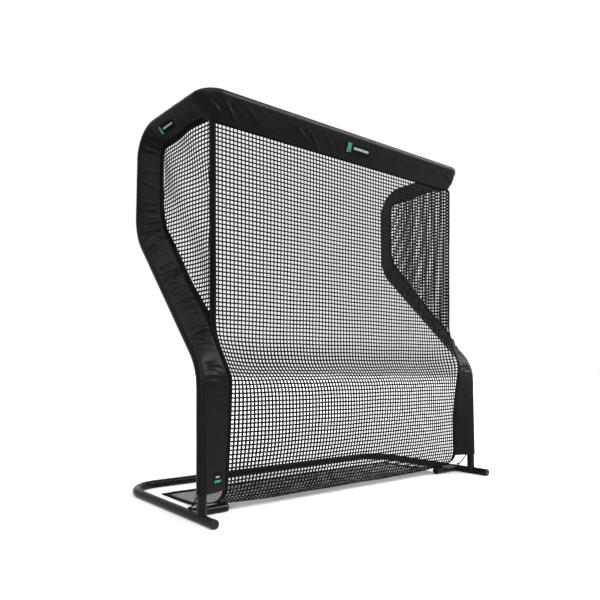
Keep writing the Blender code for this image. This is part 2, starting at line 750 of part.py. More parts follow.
def middle_button(steel, spring):
    """The clip at the crossbar's middle."""
    at = Vector((BUTTON_FROM_END, FRAME_CORNERS[-1][1], TOP_Z))
    facing = nearest_flat(FRAME_LINE.length, Vector((0, 0.14, -1)))
    facing = Vector((0, facing.y, facing.z)).normalized()
    button_hole(bpy.data.objects["crossbar_left"], at - facing * (TUBE_R - SPIGOT_R), facing, steel)
    button_hole(bpy.data.objects["crossbar_right"], at, facing, steel)
    snap_clip("snap_clip_middle", at, facing, (-1, 0, 0), spring)


def labels(patch):
    bar = [FRAME_LINE.where(0, x, SLEEVE_CUT) for x in BAR_LABEL_ENDS]
    label("label_crossbar", (bar[0], 1), (bar[1], -1), 0.20, 0.66, patch)
    top = FRAME_LINE.where(1, UPRIGHT_Y + SIDE_LABEL_Y, TOP_RAIL)
    label("label_side", (top, -1), (top + SIDE_LABEL, -1), 0.15, 0.62, patch)
    foot = FRAME_LINE.where(2, FOOT_LABEL_Z)
    label("label_foot", (foot, -1), (foot + FOOT_LABEL, -1), 0.38, 0.78, patch)


main()
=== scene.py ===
"""Looks for the golf practice net: netting of separate cords, creased cloth sleeves over the tubes,
sewn tapes, powder-coated tubes with welds, plastic caps, spring buttons and elastic ties.

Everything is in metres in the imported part's frame: X across, Y from the crossbar's side to the rear,
Z up. Each side is made once for +X and mirrored. The camera comes first, then the pieces.
"""

import json
import math

import bmesh
import bpy
import numpy as np
from mathutils import Matrix, Vector


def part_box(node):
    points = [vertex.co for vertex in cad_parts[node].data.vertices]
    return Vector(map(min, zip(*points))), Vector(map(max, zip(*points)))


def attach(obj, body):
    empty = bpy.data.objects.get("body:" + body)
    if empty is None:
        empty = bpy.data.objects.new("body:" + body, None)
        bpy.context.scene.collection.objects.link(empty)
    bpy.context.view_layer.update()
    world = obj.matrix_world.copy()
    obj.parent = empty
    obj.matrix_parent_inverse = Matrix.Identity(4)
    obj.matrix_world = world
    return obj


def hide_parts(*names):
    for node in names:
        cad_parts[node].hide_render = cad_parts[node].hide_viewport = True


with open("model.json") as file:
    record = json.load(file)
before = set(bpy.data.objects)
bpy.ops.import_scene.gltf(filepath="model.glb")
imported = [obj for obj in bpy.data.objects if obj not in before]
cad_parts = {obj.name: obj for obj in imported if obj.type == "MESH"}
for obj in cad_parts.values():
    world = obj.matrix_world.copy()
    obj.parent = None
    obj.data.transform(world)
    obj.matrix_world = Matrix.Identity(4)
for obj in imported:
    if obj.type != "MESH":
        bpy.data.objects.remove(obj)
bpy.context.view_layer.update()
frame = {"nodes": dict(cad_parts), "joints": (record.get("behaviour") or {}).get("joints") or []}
BODY = "frame"

# Sizes shared with the CAD part
WIDTH = 2.440
DEPTH = 1.067
HEIGHT = 2.286
TUBE_R = 0.025
WALL = 0.0016
RAIL_X = WIDTH / 2 - TUBE_R
UPRIGHT_Y = 0.130 - DEPTH / 2
PANEL_REAR = 0.705
REAR_BEND = 0.217
REAR_Y = DEPTH / 2 - TUBE_R
REAR_JOINT_X = 0.972
STUB_Y = UPRIGHT_Y + 0.133
STUB_END_X = 0.945
CAP_LIP = 0.005
SPIGOT = 0.060
SPIGOT_R = TUBE_R - WALL - 0.0004
FOOT_TOP_Z = 0.240
BUTTON_FROM_END = 0.028
BUTTON_RISE = 0.004
HOLE_R = 0.0051
SLEEVE_R = 0.0294
TOP_Z = HEIGHT - SLEEVE_R


def from_upright(*points):
    """Points whose Y is given from the uprights' line."""
    return tuple((x, UPRIGHT_Y + y, z) for x, y, z in points)


FRAME_CORNERS = from_upright(
    (1.190, 0.0, TUBE_R), (1.182, 0.014, 0.799), (1.153, 0.779, 1.618), (1.141, 0.771, TOP_Z),
    (1.115, 0.074, TOP_Z), (0.0, 0.074, TOP_Z),
)
FRAME_BENDS = (0.266, 0.291, 0.170, 0.102)
HEM_Z = 0.150
SLEEVE_SEAM_Y = UPRIGHT_Y + 0.380
TAPE_END_Y = UPRIGHT_Y + 0.175
TAPE = 0.033
SIDE_NET_X = 1.060
SEAM_Y = UPRIGHT_Y + 0.099
SEAM_TOP = (1.061, 2.106)
SEAM_BOTTOM = (1.058, 1.085)
PANEL_REAR_Y = UPRIGHT_Y + PANEL_REAR
EDGE_POINTS = from_upright(
    (1.008, 0.029, HEM_Z), (0.993, 0.025, 0.420), (0.997, 0.006, 0.620), (1.003, -0.008, 0.745),
    (1.028, 0.000, 0.808), (1.051, 0.065, 0.957), (1.058, 0.094, 1.055), (1.060, 0.295, 1.266),
    (1.060, 0.497, 1.520), (1.060, 0.600, 1.640), (1.060, 0.638, 1.745), (1.060, 0.642, 1.900),
    (1.060, 0.640, 2.100), (1.060, 0.618, 2.126), (1.060, 0.474, 2.137), (1.060, 0.254, 2.150),
    (1.060, 0.150, 2.134), (1.060, 0.116, 2.121), (1.050, 0.098, 2.114), (1.020, 0.095, 2.113),
    (0.0, 0.095, 2.113),
)
FLOOR_EDGE = from_upright(
    (1.008, 0.036, 0.126), (1.008, 0.060, 0.098), (1.008, 0.110, 0.066), (1.009, 0.200, 0.038),
    (1.010, 0.340, 0.012), (1.010, 0.480, 0.004), (1.010, PANEL_REAR, 0.004),
)
EYE_Y = UPRIGHT_Y + 0.105
EYE_R = 0.0068
EYE_WIRE = 0.0014
EYE_Z = 2 * TUBE_R + 0.0003 + EYE_R + EYE_WIRE
CORD_R = 0.004
BAR_LABEL_ENDS = (0.143, 0.079)
SIDE_LABEL_Y = 0.575
SIDE_LABEL = 0.162
FOOT_LABEL_Z = 0.195
FOOT_LABEL = 0.060
LABEL_LIFT = 0.0012

# Sizes of the looks. Cord widths and crowns were chosen against the picture.
ROUND = 40
CLOTH = 0.0014
TIP_HALF = 0.0034
STATION_STEP = 0.006
SIDE_CROWN = 0.0028
BAR_CROWN = 0.0065
TAPE_HALF = 0.0024
HEM_HALF = 0.0034
SEAM_WIDE = 0.038
SEAM_TURN = 0.40
MESH_X = 0.0258
MESH_Z = 0.0235
CORD_HALF_WIDE = 0.0050
CORD_HALF_THICK = 0.0009
KNOT_HALF = 0.0068
BELLY = (
    (0.099, 2.112), (0.099, 1.600), (0.099, 1.000), (0.097, 0.870), (0.088, 0.815), (0.064, 0.776),
    (0.028, 0.742), (0.002, 0.704), (-0.010, 0.640), (-0.010, 0.500), (0.004, 0.350), (0.036, 0.190),
    (0.062, 0.110), (0.088, 0.062), (0.135, 0.033), (0.220, 0.015), (0.350, 0.006), (0.672, 0.004),
)
EDGE_PULL = 7
NET_HALF = 1.0445
FOLD_Z = 0.98
FOLD_SPAN = 0.14
LYING_Z = 0.028
LYING_SPAN = 0.018
CORD_SIDES = 6

# Camera
CAMERA_AT = (-2.7328, -2.8491, 0.7975)
CAMERA_TURN = 35.083
CAMERA_LENS = 34.076
CAMERA_SHIFT = (0.1166, 0.1116)


def add_camera():
    data = bpy.data.cameras.new("camera")
    data.lens = CAMERA_LENS
    data.sensor_width = 36.0
    data.shift_x, data.shift_y = CAMERA_SHIFT
    camera = bpy.data.objects.new("camera", data)
    camera.location = CAMERA_AT
    camera.rotation_euler = (math.pi / 2, 0, -math.radians(CAMERA_TURN))
    bpy.context.scene.collection.objects.link(camera)
    bpy.context.scene.camera = camera


add_camera()


# Materials


class Nodes:
    """A small helper that builds one material's node tree."""

    def __init__(self, name):
        self.material = bpy.data.materials.new(name)
        self.material.use_nodes = True
        self.tree = self.material.node_tree
        self.shader = self.tree.nodes["Principled BSDF"]
        self.place = self.add("ShaderNodeTexCoord").outputs["Object"]

    def add(self, kind, **settings):
        node = self.tree.nodes.new(kind)
        for key, value in settings.items():
            setattr(node, key, value)
        return node

    def link(self, a, b):
        self.tree.links.new(a, b)

    def noise(self, scale, detail=2.0, stretch=(1, 1, 1)):
        mapping = self.add("ShaderNodeMapping")
        mapping.inputs["Scale"].default_value = stretch
        self.link(self.place, mapping.inputs["Vector"])
        noise = self.add("ShaderNodeTexNoise")
        noise.inputs["Scale"].default_value = scale
        noise.inputs["Detail"].default_value = detail
        self.link(mapping.outputs["Vector"], noise.inputs["Vector"])
        return noise.outputs["Fac"]

    def wave(self, axis, scale):
        wave = self.add("ShaderNodeTexWave", wave_type="BANDS", bands_direction=axis)
        wave.inputs["Scale"].default_value = scale
        self.link(self.place, wave.inputs["Vector"])
        return wave.outputs["Fac"]

    def maths(self, operation, a, b):
        node = self.add("ShaderNodeMath", operation=operation)
        for socket, value in zip(node.inputs, (a, b)):
            if isinstance(value, (int, float)):
                socket.default_value = value
            else:
                self.link(value, socket)
        return node.outputs[0]

    def ramp(self, value, stops):
        ramp = self.add("ShaderNodeValToRGB")
        self.link(value, ramp.inputs["Fac"])
        elements = ramp.color_ramp.elements
        while len(elements) < len(stops):
            elements.new(0.5)
        for element, (place, colour) in zip(elements, stops):
            element.position = place
            element.color = (*colour, 1.0)
        return ramp.outputs["Color"]

    def grey(self, value, low, high, start=0.3, end=0.7):
        return self.ramp(value, ((start, (low,) * 3), (end, (high,) * 3)))

    def mottle(self, scale, detail, low, high, end=0.7):
        """Noise between two colours."""
        return self.ramp(self.noise(scale, detail), ((0.3, low), (end, high)))

    def patchy(self, scale, detail, low, high):
        """Noise between two grey values."""
        return self.grey(self.noise(scale, detail), low, high)

    def bump(self, height, strength, distance, before=None):
        bump = self.add("ShaderNodeBump")
        bump.inputs["Strength"].default_value = strength
        bump.inputs["Distance"].default_value = distance
        self.link(height, bump.inputs["Height"])
        if before is not None:
            self.link(before, bump.inputs["Normal"])
        return bump.outputs["Normal"]

    def done(self, **sockets):
        for key, value in sockets.items():
            socket = self.shader.inputs[key.replace("_", " ")]
            if isinstance(value, (int, float, tuple)):
                socket.default_value = value
            else:
                self.link(value, socket)
        return self.material


def weave_height(n, pitch):
    """A plain weave: two crossed sets of threads that rise and dip in turn."""
    scale = 1 / pitch / 6.2832 * 3.1416
    first = n.wave("X", scale)
    second = n.wave("Z", scale)
    third = n.wave("Y", scale)
    return n.maths("ADD", n.maths("MULTIPLY", first, second), n.maths("MULTIPLY", second, third))


def cover_cloth():
    n = Nodes("cover_cloth")
    tint = n.mottle(5.0, 3, (0.0013, 0.0014, 0.0015), (0.0020, 0.0022, 0.0024), 0.72)
    fibre = n.noise(900.0, 2)
    normal = n.bump(weave_height(n, 0.0014), 0.25, 0.0003)
    normal = n.bump(n.noise(60.0, 3), 0.10, 0.0015, normal)
    rough = n.grey(n.maths("ADD", n.maths("MULTIPLY", fibre, 0.4), n.maths("MULTIPLY", n.noise(9.0, 3), 0.6)),
                   0.35, 0.46)
    return n.done(Base_Color=tint, Roughness=rough, Normal=normal, Sheen_Weight=0.01, Sheen_Roughness=0.4,
                  Specular_IOR_Level=0.055)


def webbing():
    n = Nodes("webbing")
    tint = n.mottle(40.0, 3, (0.0010, 0.0010, 0.0011), (0.0018, 0.0018, 0.0019))
    ribs = n.maths("ADD", n.wave("Z", 420.0), n.maths("MULTIPLY", n.wave("X", 260.0), 0.6))
    normal = n.bump(ribs, 0.35, 0.0004)
    normal = n.bump(n.noise(500.0, 2), 0.2, 0.0003, normal)
    return n.done(Base_Color=tint, Roughness=n.patchy(120.0, 2, 0.72, 0.88), Normal=normal,
                  Specular_IOR_Level=0.035)


def netting():
    n = Nodes("netting")
    tint = n.mottle(70.0, 3, (0.0014, 0.0014, 0.0015), (0.0026, 0.0026, 0.0028))
    twist = n.maths("ADD", n.wave("DIAGONAL", 330.0), n.noise(700.0, 2))
    return n.done(Base_Color=tint, Roughness=n.patchy(200.0, 2, 0.70, 0.85),
                  Normal=n.bump(twist, 0.4, 0.0004), Specular_IOR_Level=0.05)


def elastic():
    n = Nodes("elastic")
    tint = n.mottle(160.0, 2, (0.0012, 0.0012, 0.0012), (0.0026, 0.0026, 0.0028))
    return n.done(Base_Color=tint, Roughness=n.patchy(300.0, 2, 0.60, 0.78),
                  Normal=n.bump(n.wave("DIAGONAL", 500.0), 0.4, 0.0004), Specular_IOR_Level=0.05)


def powder_coat():
    n = Nodes("powder_coat")
    tint = n.mottle(7.0, 3, (0.0015, 0.0016, 0.0018), (0.0028, 0.0029, 0.0031))
    normal = n.bump(n.noise(1100.0, 2), 0.28, 0.0004)
    normal = n.bump(n.noise(220.0, 2), 0.12, 0.0006, normal)
    rough = n.patchy(16.0, 4, 0.20, 0.30)
    return n.done(Base_Color=tint, Roughness=rough, Normal=normal, Specular_IOR_Level=0.095)


def cap_plastic():
    n = Nodes("cap_plastic")
    tint = n.mottle(25.0, 2, (0.0028, 0.0028, 0.0029), (0.0044, 0.0044, 0.0046))
    return n.done(Base_Color=tint, Roughness=n.patchy(60.0, 3, 0.40, 0.55),
                  Normal=n.bump(n.noise(1500.0, 2), 0.25, 0.0003), Specular_IOR_Level=0.15)


def spring_metal():
    n = Nodes("spring_metal")
    brushed = n.noise(300.0, 3, (1, 1, 14))
    tint = n.mottle(40.0, 3, (0.40, 0.41, 0.43), (0.54, 0.55, 0.56))
    return n.done(Base_Color=tint, Metallic=1.0, Roughness=n.grey(brushed, 0.26, 0.42),
                  Normal=n.bump(brushed, 0.15, 0.0002))


def thread():
    n = Nodes("thread")
    tint = n.mottle(300.0, 2, (0.018, 0.018, 0.019), (0.034, 0.034, 0.036))
    return n.done(Base_Color=tint, Roughness=n.patchy(500.0, 2, 0.5, 0.7),
                  Normal=n.bump(n.wave("DIAGONAL", 900.0), 0.4, 0.0002))


def woven(name, low, high, shine=0.3):
    """The ribbed yarn of a woven label in one colour."""
    n = Nodes(name)
    tint = n.mottle(260.0, 2, low, high)
    return n.done(Base_Color=tint, Roughness=n.patchy(400.0, 2, 0.68, 0.85),
                  Normal=n.bump(n.wave("Z", 520.0), 0.3, 0.0003), Specular_IOR_Level=shine)


CLOTH_LOOK = cover_cloth()
WEBBING = webbing()
NETTING = netting()
ELASTIC = elastic()
STEEL = powder_coat()
PLASTIC = cap_plastic()
SPRING = spring_metal()
THREAD = thread()
LABEL_GROUND = woven("label_ground", (0.0014, 0.0015, 0.0016), (0.0024, 0.0025, 0.0026), 0.04)
LABEL_GREEN = woven("label_green", (0.006, 0.085, 0.040), (0.012, 0.135, 0.066))
LABEL_PALE = woven("label_pale", (0.13, 0.14, 0.14), (0.19, 0.20, 0.20))


# Geometry helpers


def unit(v):
    return v / np.linalg.norm(v, axis=-1, keepdims=True)


def square(v, t):
    """v with its part along t taken out, at unit length."""
    return unit(v - t * np.sum(v * t, axis=-1, keepdims=True))


def sided(points, side):
    return np.asarray(points) * np.array((side, 1.0, 1.0))


def side_name(stem, side):
    return f"{stem}_{'right' if side > 0 else 'left'}"


def smooth_rows(values, sigma):
    """Each column smoothed along the rows, with the ends kept. sigma is in rows."""
    reach = max(1, int(3 * sigma))
    kernel = np.exp(-0.5 * (np.arange(-reach, reach + 1) / sigma) ** 2)
    kernel /= kernel.sum()
    first = 2 * values[0] - values[reach:0:-1]
    last = 2 * values[-1] - values[-2:-reach - 2:-1]
    padded = np.concatenate([first, values, last])
    return np.stack([np.convolve(padded[:, k], kernel, "valid") for k in range(values.shape[1])], 1)


def along(points):
    """The distance along a row of points."""
    return np.concatenate([[0.0], np.cumsum(np.linalg.norm(np.diff(points, axis=0), axis=1))])


def read(marks, length, values):
    """Rows of values at given distances along a line."""
    return np.stack([np.interp(marks, length, values[:, k]) for k in range(values.shape[1])], -1)


def resample(points, step):
    points = np.asarray(points, float)
    length = along(points)
    count = max(2, int(round(length[-1] / step)) + 1)
    return read(np.linspace(0, length[-1], count), length, points)


def rounded(corners, radii, degrees=3.0):
    """A line through corners with a true arc at each inner one."""
    corners = [Vector(c) for c in corners]
    made = [corners[0]]
    for corner, radius, before, after in zip(corners[1:], radii, corners, corners[2:]):
        incoming = (corner - before).normalized()
        outgoing = (after - corner).normalized()
        turn = incoming.angle(outgoing)
        start = corner - incoming * radius * math.tan(turn / 2)
        axis = incoming.cross(outgoing).normalized()
        centre = start + axis.cross(incoming) * radius
        steps = max(2, round(math.degrees(turn) / degrees))
        for k in range(steps + 1):
            made.append(centre + Matrix.Rotation(turn * k / steps, 3, axis) @ (start - centre))
    made.append(corners[-1])
    return np.array([tuple(p) for p in made])


class Path:
    """A line read by the distance along it."""

    def __init__(self, points):
        self.points = resample(points, 0.002)
        self.marks = along(self.points)
        self.length = self.marks[-1]
        self.tangents = unit(np.gradient(self.points, axis=0))

    def at(self, distance):
        return read(distance, self.marks, self.points), unit(read(distance, self.marks, self.tangents))

    def where(self, axis, value, first=0.0):
        """The first distance beyond a given one where a coordinate is nearest to a value."""
        later = self.marks >= first
        gap = np.where(later, np.abs(self.points[:, axis] - value), 9.0)
        return self.marks[np.argmax(gap < 0.0021)]


def mesh_object(name, points, faces, *looks, which=None, sharp=None):
    """A mesh from points and faces, with its normals turned outward and smooth shading."""
    mesh = bpy.data.meshes.new(name)
    mesh.from_pydata(np.asarray(points).reshape(-1, 3).tolist(), [], [tuple(f) for f in faces])
    for look in looks:
        mesh.materials.append(look)
    if which is not None:
        mesh.polygons.foreach_set("material_index", np.asarray(which, np.int32))
    work = bmesh.new()
    work.from_mesh(mesh)
    bmesh.ops.recalc_face_normals(work, faces=work.faces)
    work.to_mesh(mesh)
    work.free()
    mesh.shade_smooth()
    if sharp is not None:
        mesh.set_sharp_from_angle(angle=math.radians(sharp))
    made = bpy.data.objects.new(name, mesh)
    bpy.context.scene.collection.objects.link(made)
    return made


def grid_faces(rows, columns, wrap_columns=False, wrap_rows=False, start=0):
    """Quads of a grid of points, joined round where it wraps."""
    last_row = rows if wrap_rows else rows - 1
    last_column = columns if wrap_columns else columns - 1
    i = np.arange(last_row)[:, None]
    j = np.arange(last_column)[None, :]
    below = (i + 1) % rows
    after = (j + 1) % columns
    quads = (i * columns + j, i * columns + after, below * columns + after, below * columns + j)
    return (np.stack(quads, -1).reshape(-1, 4) + start).tolist()


def end_faces(rows, columns):
    return [tuple(range(columns)), tuple(range((rows - 1) * columns, rows * columns))]


def place(piece, slot, *nodes, body=BODY):
    """Rides a piece on a body and hides the CAD nodes it stands for. slot is not used."""
    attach(piece, body)
    if nodes:
        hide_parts(*nodes)
    return piece


def rings_along(points, tangents, normal, radii, sides=ROUND):
    """Circles square to a line, one at each point."""
    normals = square(np.broadcast_to(normal, tangents.shape), tangents)
    across = np.cross(tangents, normals)
    turns = 2 * math.pi * np.arange(sides) / sides
    spokes = normals[:, None] * np.cos(turns)[None, :, None] + across[:, None] * np.sin(turns)[None, :, None]
    return points[:, None] + spokes * np.asarray(radii)[:, None, None]


def wall_rings(points, tangents, normal, radii):
    """The outer and inner circles of a tube wall."""
    return [rings_along(points, tangents, np.array(normal), radii - inside) for inside in (0.0, WALL)]


def closed_wall(name, outer, inner, side):
    """A tube wall between outer and inner circles, with its rims closed."""
    rings = sided(np.concatenate([outer, inner[::-1]]), side)
    count, sides = rings.shape[:2]
    return mesh_object(name, rings, grid_faces(count, sides, True, True), STEEL, sharp=30)


def tube_wall(name, path, start, end, side, swaged=False):
    """A round tube along a path, its rims eased, drawn down to a spigot past its end if swaged."""
    marks = np.arange(start + 0.0015, end - 0.0015, 0.012)
    marks = np.concatenate([[start, start + 0.0008], marks, [end - 0.0008, end]])
    radii = np.full(len(marks), TUBE_R)
    radii[0] -= 0.0005
    if swaged:
        marks = np.concatenate([marks, end + np.array([0.002, 0.004, SPIGOT - 0.001, SPIGOT])])
        radii = np.concatenate([radii, [SPIGOT_R + 0.0004, SPIGOT_R, SPIGOT_R, SPIGOT_R - 0.0005]])
    else:
        radii[-1] -= 0.0005
    points, tangents = path.at(marks)
    past = np.maximum(marks - path.length, 0)[:, None]
    points = points + tangents * past
    return closed_wall(name, *wall_rings(points, tangents, (0, 0, 1.0), radii), side)


def lathe(name, base, axis, profile, look, sides=ROUND, sharp=40):
    """A solid of revolution: pairs of height along the axis and radius."""
    axis = unit(np.array(axis, float))
    helper = np.array((0.0, 0, 1)) if abs(axis[2]) < 0.9 else np.array((1.0, 0, 0))
    heights = np.array([h for h, _ in profile])
    centres = np.array(base) + axis * heights[:, None]
    tangents = np.repeat(axis[None], len(profile), 0)
    rings = rings_along(centres, tangents, helper, [r for _, r in profile], sides)
    faces = grid_faces(len(profile), sides, True) + end_faces(len(profile), sides)
    return mesh_object(name, rings, faces, look, sharp=sharp)


# The lines that the tubes and the sleeves' inner edges follow, on the +X side

FRAME_PATH = Path(rounded(FRAME_CORNERS, FRAME_BENDS))
RAIL_PATH = Path(rounded(
    ((RAIL_X, CAP_LIP - DEPTH / 2, TUBE_R), (RAIL_X, REAR_Y, TUBE_R), (0, REAR_Y, TUBE_R)), (REAR_BEND,)))
HEM_AT = FRAME_PATH.where(2, HEM_Z)
TOP_AT = FRAME_PATH.where(2, TOP_Z - 0.003)
SEAM_AT = FRAME_PATH.where(1, SLEEVE_SEAM_Y, TOP_AT)
TAPE_END_AT = FRAME_PATH.where(1, TAPE_END_Y, TOP_AT)
SLOPE_AT = FRAME_PATH.where(2, 0.90)
REAR_AT = FRAME_PATH.where(2, 1.68)
CORNER_AT = FRAME_PATH.where(1, UPRIGHT_Y + 0.16, TOP_AT)


class SleeveFrame:
    """At each distance along the frame: the tube's centre, the way to the inner edge, and the reach."""

    def __init__(self):
        self.marks = np.arange(0.0, FRAME_PATH.length + 0.001, 0.004)
        centres, tangents = FRAME_PATH.at(self.marks)
        edge = resample(EDGE_POINTS, 0.002)
        self.edge = smooth_rows(np.array([self._beside(c, t, edge) for c, t in zip(centres, tangents)]), 4)
        self.edge[-8:, 1:] = EDGE_POINTS[-1][1:]

    @staticmethod
    def _beside(centre, tangent, edge):
        gap = edge - centre
        far = np.linalg.norm(gap, axis=1)
        cost = np.abs(gap @ tangent) + 0.02 * far + np.where(far < 0.24, 0.0, 9.0)
        return edge[np.argmin(cost)]

    def at(self, distance):
        """Centre, tangent, across, lift, edge and reach at each distance."""
        centre, tangent = FRAME_PATH.at(distance)
        edge = read(distance, self.marks, self.edge)
        across = square(edge - centre, tangent)
        lift = np.cross(tangent, across)
        reach = np.linalg.norm(edge - centre, axis=-1)
        return centre, tangent, across, lift, edge, reach


SLEEVE = SleeveFrame()


def crease_list(seed, spans, bias=0.0):
    """Random creases. Each span is start, end, number, tallest and how far they lean. A bias makes all
    of them lean the same way."""
    draw = np.random.default_rng(seed)
    made = []
    for start, end, number, tall, lean in spans:
        for _ in range(number):
            outer = draw.random() < 0.5
            made.append((
                draw.uniform(start, end),
                draw.uniform(0.25, 0.80) if outer else draw.uniform(2.20, 2.75),
                draw.uniform(0.24, 0.60),
                draw.uniform(0.008, 0.019),
                tall * draw.uniform(0.35, 1.0),
                draw.normal(bias, 0.4) * lean,
                draw.uniform(-0.09, 0.03),
            ))
    return np.array(made)


def crease_height(creases, distance, turn):
    """How far the cloth stands out, for a grid of distances and places round the section."""
    height = np.zeros(np.broadcast(distance, turn).shape)
    for at, middle, spread, wide, tall, lean, bow in creases:
        near = np.abs(distance[:, 0] - at) < 0.12
        if not near.any():
            continue
        q = turn - middle
        x = (distance[near] - at - lean * q - bow * q * q) / wide
        ridge = (1 - 0.8 * x * x) * np.exp(-0.5 * x * x)
        height[near] += tall * ridge * np.exp(-((q / spread) ** 2))
    return height


def soft_waves(distance, turn, seed):
    """Slow unevenness of the cloth."""
    draw = np.random.default_rng(seed)
    total = 0.0
    for _ in range(7):
        a, b, c = draw.uniform(9, 34), draw.uniform(1.2, 3.6), draw.uniform(0, 6.28)
        total = total + np.sin(a * distance + b * turn + c) * draw.uniform(0.3, 1.0)
    return total / 3.0


def section(reach, radius, half, turn):
    """Places and outward directions round a drop-shaped section: 0 to 1 is the outer flat from the tip
    to the tube, 1 to 2 goes round the tube, and 2 to 3 is the inner flat back to the tip."""
    far = np.hypot(reach, half)
    bend = np.arccos(radius / far) + np.arctan2(half, reach)
    tip = np.stack([reach + 0 * bend, half + 0 * bend], -1)
    touch = np.stack([np.cos(bend), np.sin(bend)], -1) * radius
    q = turn[..., None]
    angle = bend + (2 * math.pi - 2 * bend) * np.clip(turn - 1, 0, 1)
    arc = np.stack([np.cos(angle), np.sin(angle)], -1)
    slope = unit(touch - tip)
    facing = np.stack([slope[..., 1], -slope[..., 0]], -1)
    flip = np.array((1.0, -1.0))
    outer = tip + (touch - tip) * np.clip(q, 0, 1)
    inner = (touch + (tip - touch) * np.clip(q - 2, 0, 1)) * flip
    spot = np.where(q < 1, outer, np.where(q < 2, arc * radius, inner))
    out = np.where(q < 1, facing, np.where(q < 2, arc, facing * flip))
    return spot, out


def looseness(turn):
    """How freely the cloth can stand out: little at the sewn tip and over the tube, most between."""
    flat = np.minimum(np.clip(turn, 0, 1), np.clip(3 - turn, 0, 1))
    open_part = np.sin(math.pi * np.clip(flat, 0.0, 1.0)) ** 0.8
    over_tube = 0.22 * np.sin(math.pi * np.clip(turn - 1, 0, 1)) ** 0.5
    return np.where((turn > 1) & (turn < 2), over_tube + 0.05, np.maximum(open_part, 0.05 * (flat > 0.9)))


def sleeve_surface(distance, turn, creases, seed, back, lift_off=0.0, bands=(), crown=SIDE_CROWN):
    """The sleeve's outer surface for a grid of distances (rows) and places round the section."""
    centre, _, across, lift, _, reach = SLEEVE.at(distance[:, 0])
    reach = (reach - back)[:, None]
    spot, out = section(reach, SLEEVE_R, TIP_HALF, np.broadcast_to(turn, (len(distance), turn.shape[1])))
    height = crease_height(creases, distance, turn) + 0.0011 * soft_waves(distance, turn, seed)
    height = height * looseness(turn) - 0.0012 * looseness(turn) * (np.abs(turn - 1.5) > 0.5)
    over_tube = (turn > 1) & (turn < 2)
    height = np.where(over_tube, np.clip(height, -0.0010, 0.0030), height)
    height = height + crown * np.sin(math.pi * np.clip(turn / 1.4, 0, 1)) ** 1.4
    for start, end, step in bands:
        inside = 1 / (1 + np.exp(-(distance - start) / 0.0012)) / (1 + np.exp((distance - end) / 0.0012))
        height = height + step * inside
    spot = spot + out * (height + lift_off)[..., None]
    return centre[:, None] + across[:, None] * spot[..., :1] + lift[:, None] * spot[..., 1:]


FLAT_TURNS = np.linspace(0, 1, 17)
SECTION_TURNS = np.concatenate([FLAT_TURNS, 1 + np.linspace(0, 1, 19)[1:], 2 + FLAT_TURNS[1:]])[None, :]
SIDE_CREASES = crease_list(7, (
    (HEM_AT + 0.05, HEM_AT + 0.45, 6, 0.0024, 0.06),
    (HEM_AT + 0.40, SLOPE_AT - 0.10, 12, 0.0044, 0.06),
    (SLOPE_AT - 0.20, SLOPE_AT + 0.10, 24, 0.0112, 0.07),
    (SLOPE_AT + 0.06, REAR_AT - 0.05, 62, 0.0122, 0.09),
    (REAR_AT - 0.12, REAR_AT + 0.10, 18, 0.0076, 0.07),
    (REAR_AT + 0.10, TOP_AT - 0.22, 10, 0.0036, 0.06),
    (TOP_AT - 0.22, TOP_AT + 0.02, 14, 0.0052, 0.05),
))
BAR_CREASES = crease_list(11, (
    (CORNER_AT - 0.14, CORNER_AT + 0.12, 10, 0.0036, 0.06),
    (CORNER_AT + 0.06, CORNER_AT + 0.45, 16, 0.0058, 0.30),
    (CORNER_AT + 0.40, FRAME_PATH.length, 26, 0.0034, 0.26),
), bias=-0.75)
BAR_RIGHT_CREASES = np.concatenate([
    BAR_CREASES * (1, 1, 1, 1.2, 0.42, 1, 1.0),
    crease_list(31, ((CORNER_AT + 0.02, CORNER_AT + 0.24, 9, 0.0060, 0.22),), bias=1.1)])
HEM_BANDS = ((HEM_AT - 0.01, HEM_AT + 0.022, 0.0007),)
SIDE_BACK = TAPE - 0.006
BAR_BANDS = ((SEAM_AT - 0.01, SEAM_AT + 0.028, 0.0010), (SEAM_AT + 0.118, SEAM_AT + 0.124, -0.0011),
             (SEAM_AT + 0.124, SEAM_AT + 0.136, 0.0005))


def thicken(piece, amount):
    solidify = piece.modifiers.new("cloth", "SOLIDIFY")
    solidify.thickness = amount
    solidify.offset = -1.0


def bar_back(distance):
    """How far the crossbar sleeve's tip stands back from the inner edge: a tape's width at the sides."""
    part = np.clip((distance - TAPE_END_AT) / 0.03, 0, 1)
    return SIDE_BACK * (1 - part * part * (3 - 2 * part))


def facing_out(piece, centre_line):
    """Turns an open sheet's faces away from the line it wraps."""
    mesh = piece.data
    middle = mesh.polygons[len(mesh.polygons) // 2]
    nearest = centre_line[np.argmin(np.linalg.norm(centre_line - np.array(middle.center), axis=1))]
    if Vector(nearest - np.array(middle.center)).dot(middle.normal) > 0:
        mesh.flip_normals()


def sleeve_piece(name, rings, centre_line):
    """A sleeve of cover cloth from rows of points round it."""
    piece = mesh_object(name, rings, grid_faces(*rings.shape[:2]), CLOTH_LOOK)
    facing_out(piece, centre_line)
    thicken(piece, CLOTH)
    return place(piece, "black_cover_fabric", name)


def stations(start, end):
    """Distances along the frame, a step apart, with both ends."""
    return np.linspace(start, end, int(round((end - start) / STATION_STEP)) + 1)[:, None]


def side_sleeve(side):
    marks = stations(HEM_AT, SEAM_AT - 0.0002)
    rings = sleeve_surface(marks, SECTION_TURNS, SIDE_CREASES, 5, SIDE_BACK, bands=HEM_BANDS)
    piece = sleeve_piece(side_name("side_sleeve", side), sided(rings, side), sided(FRAME_PATH.points, side))


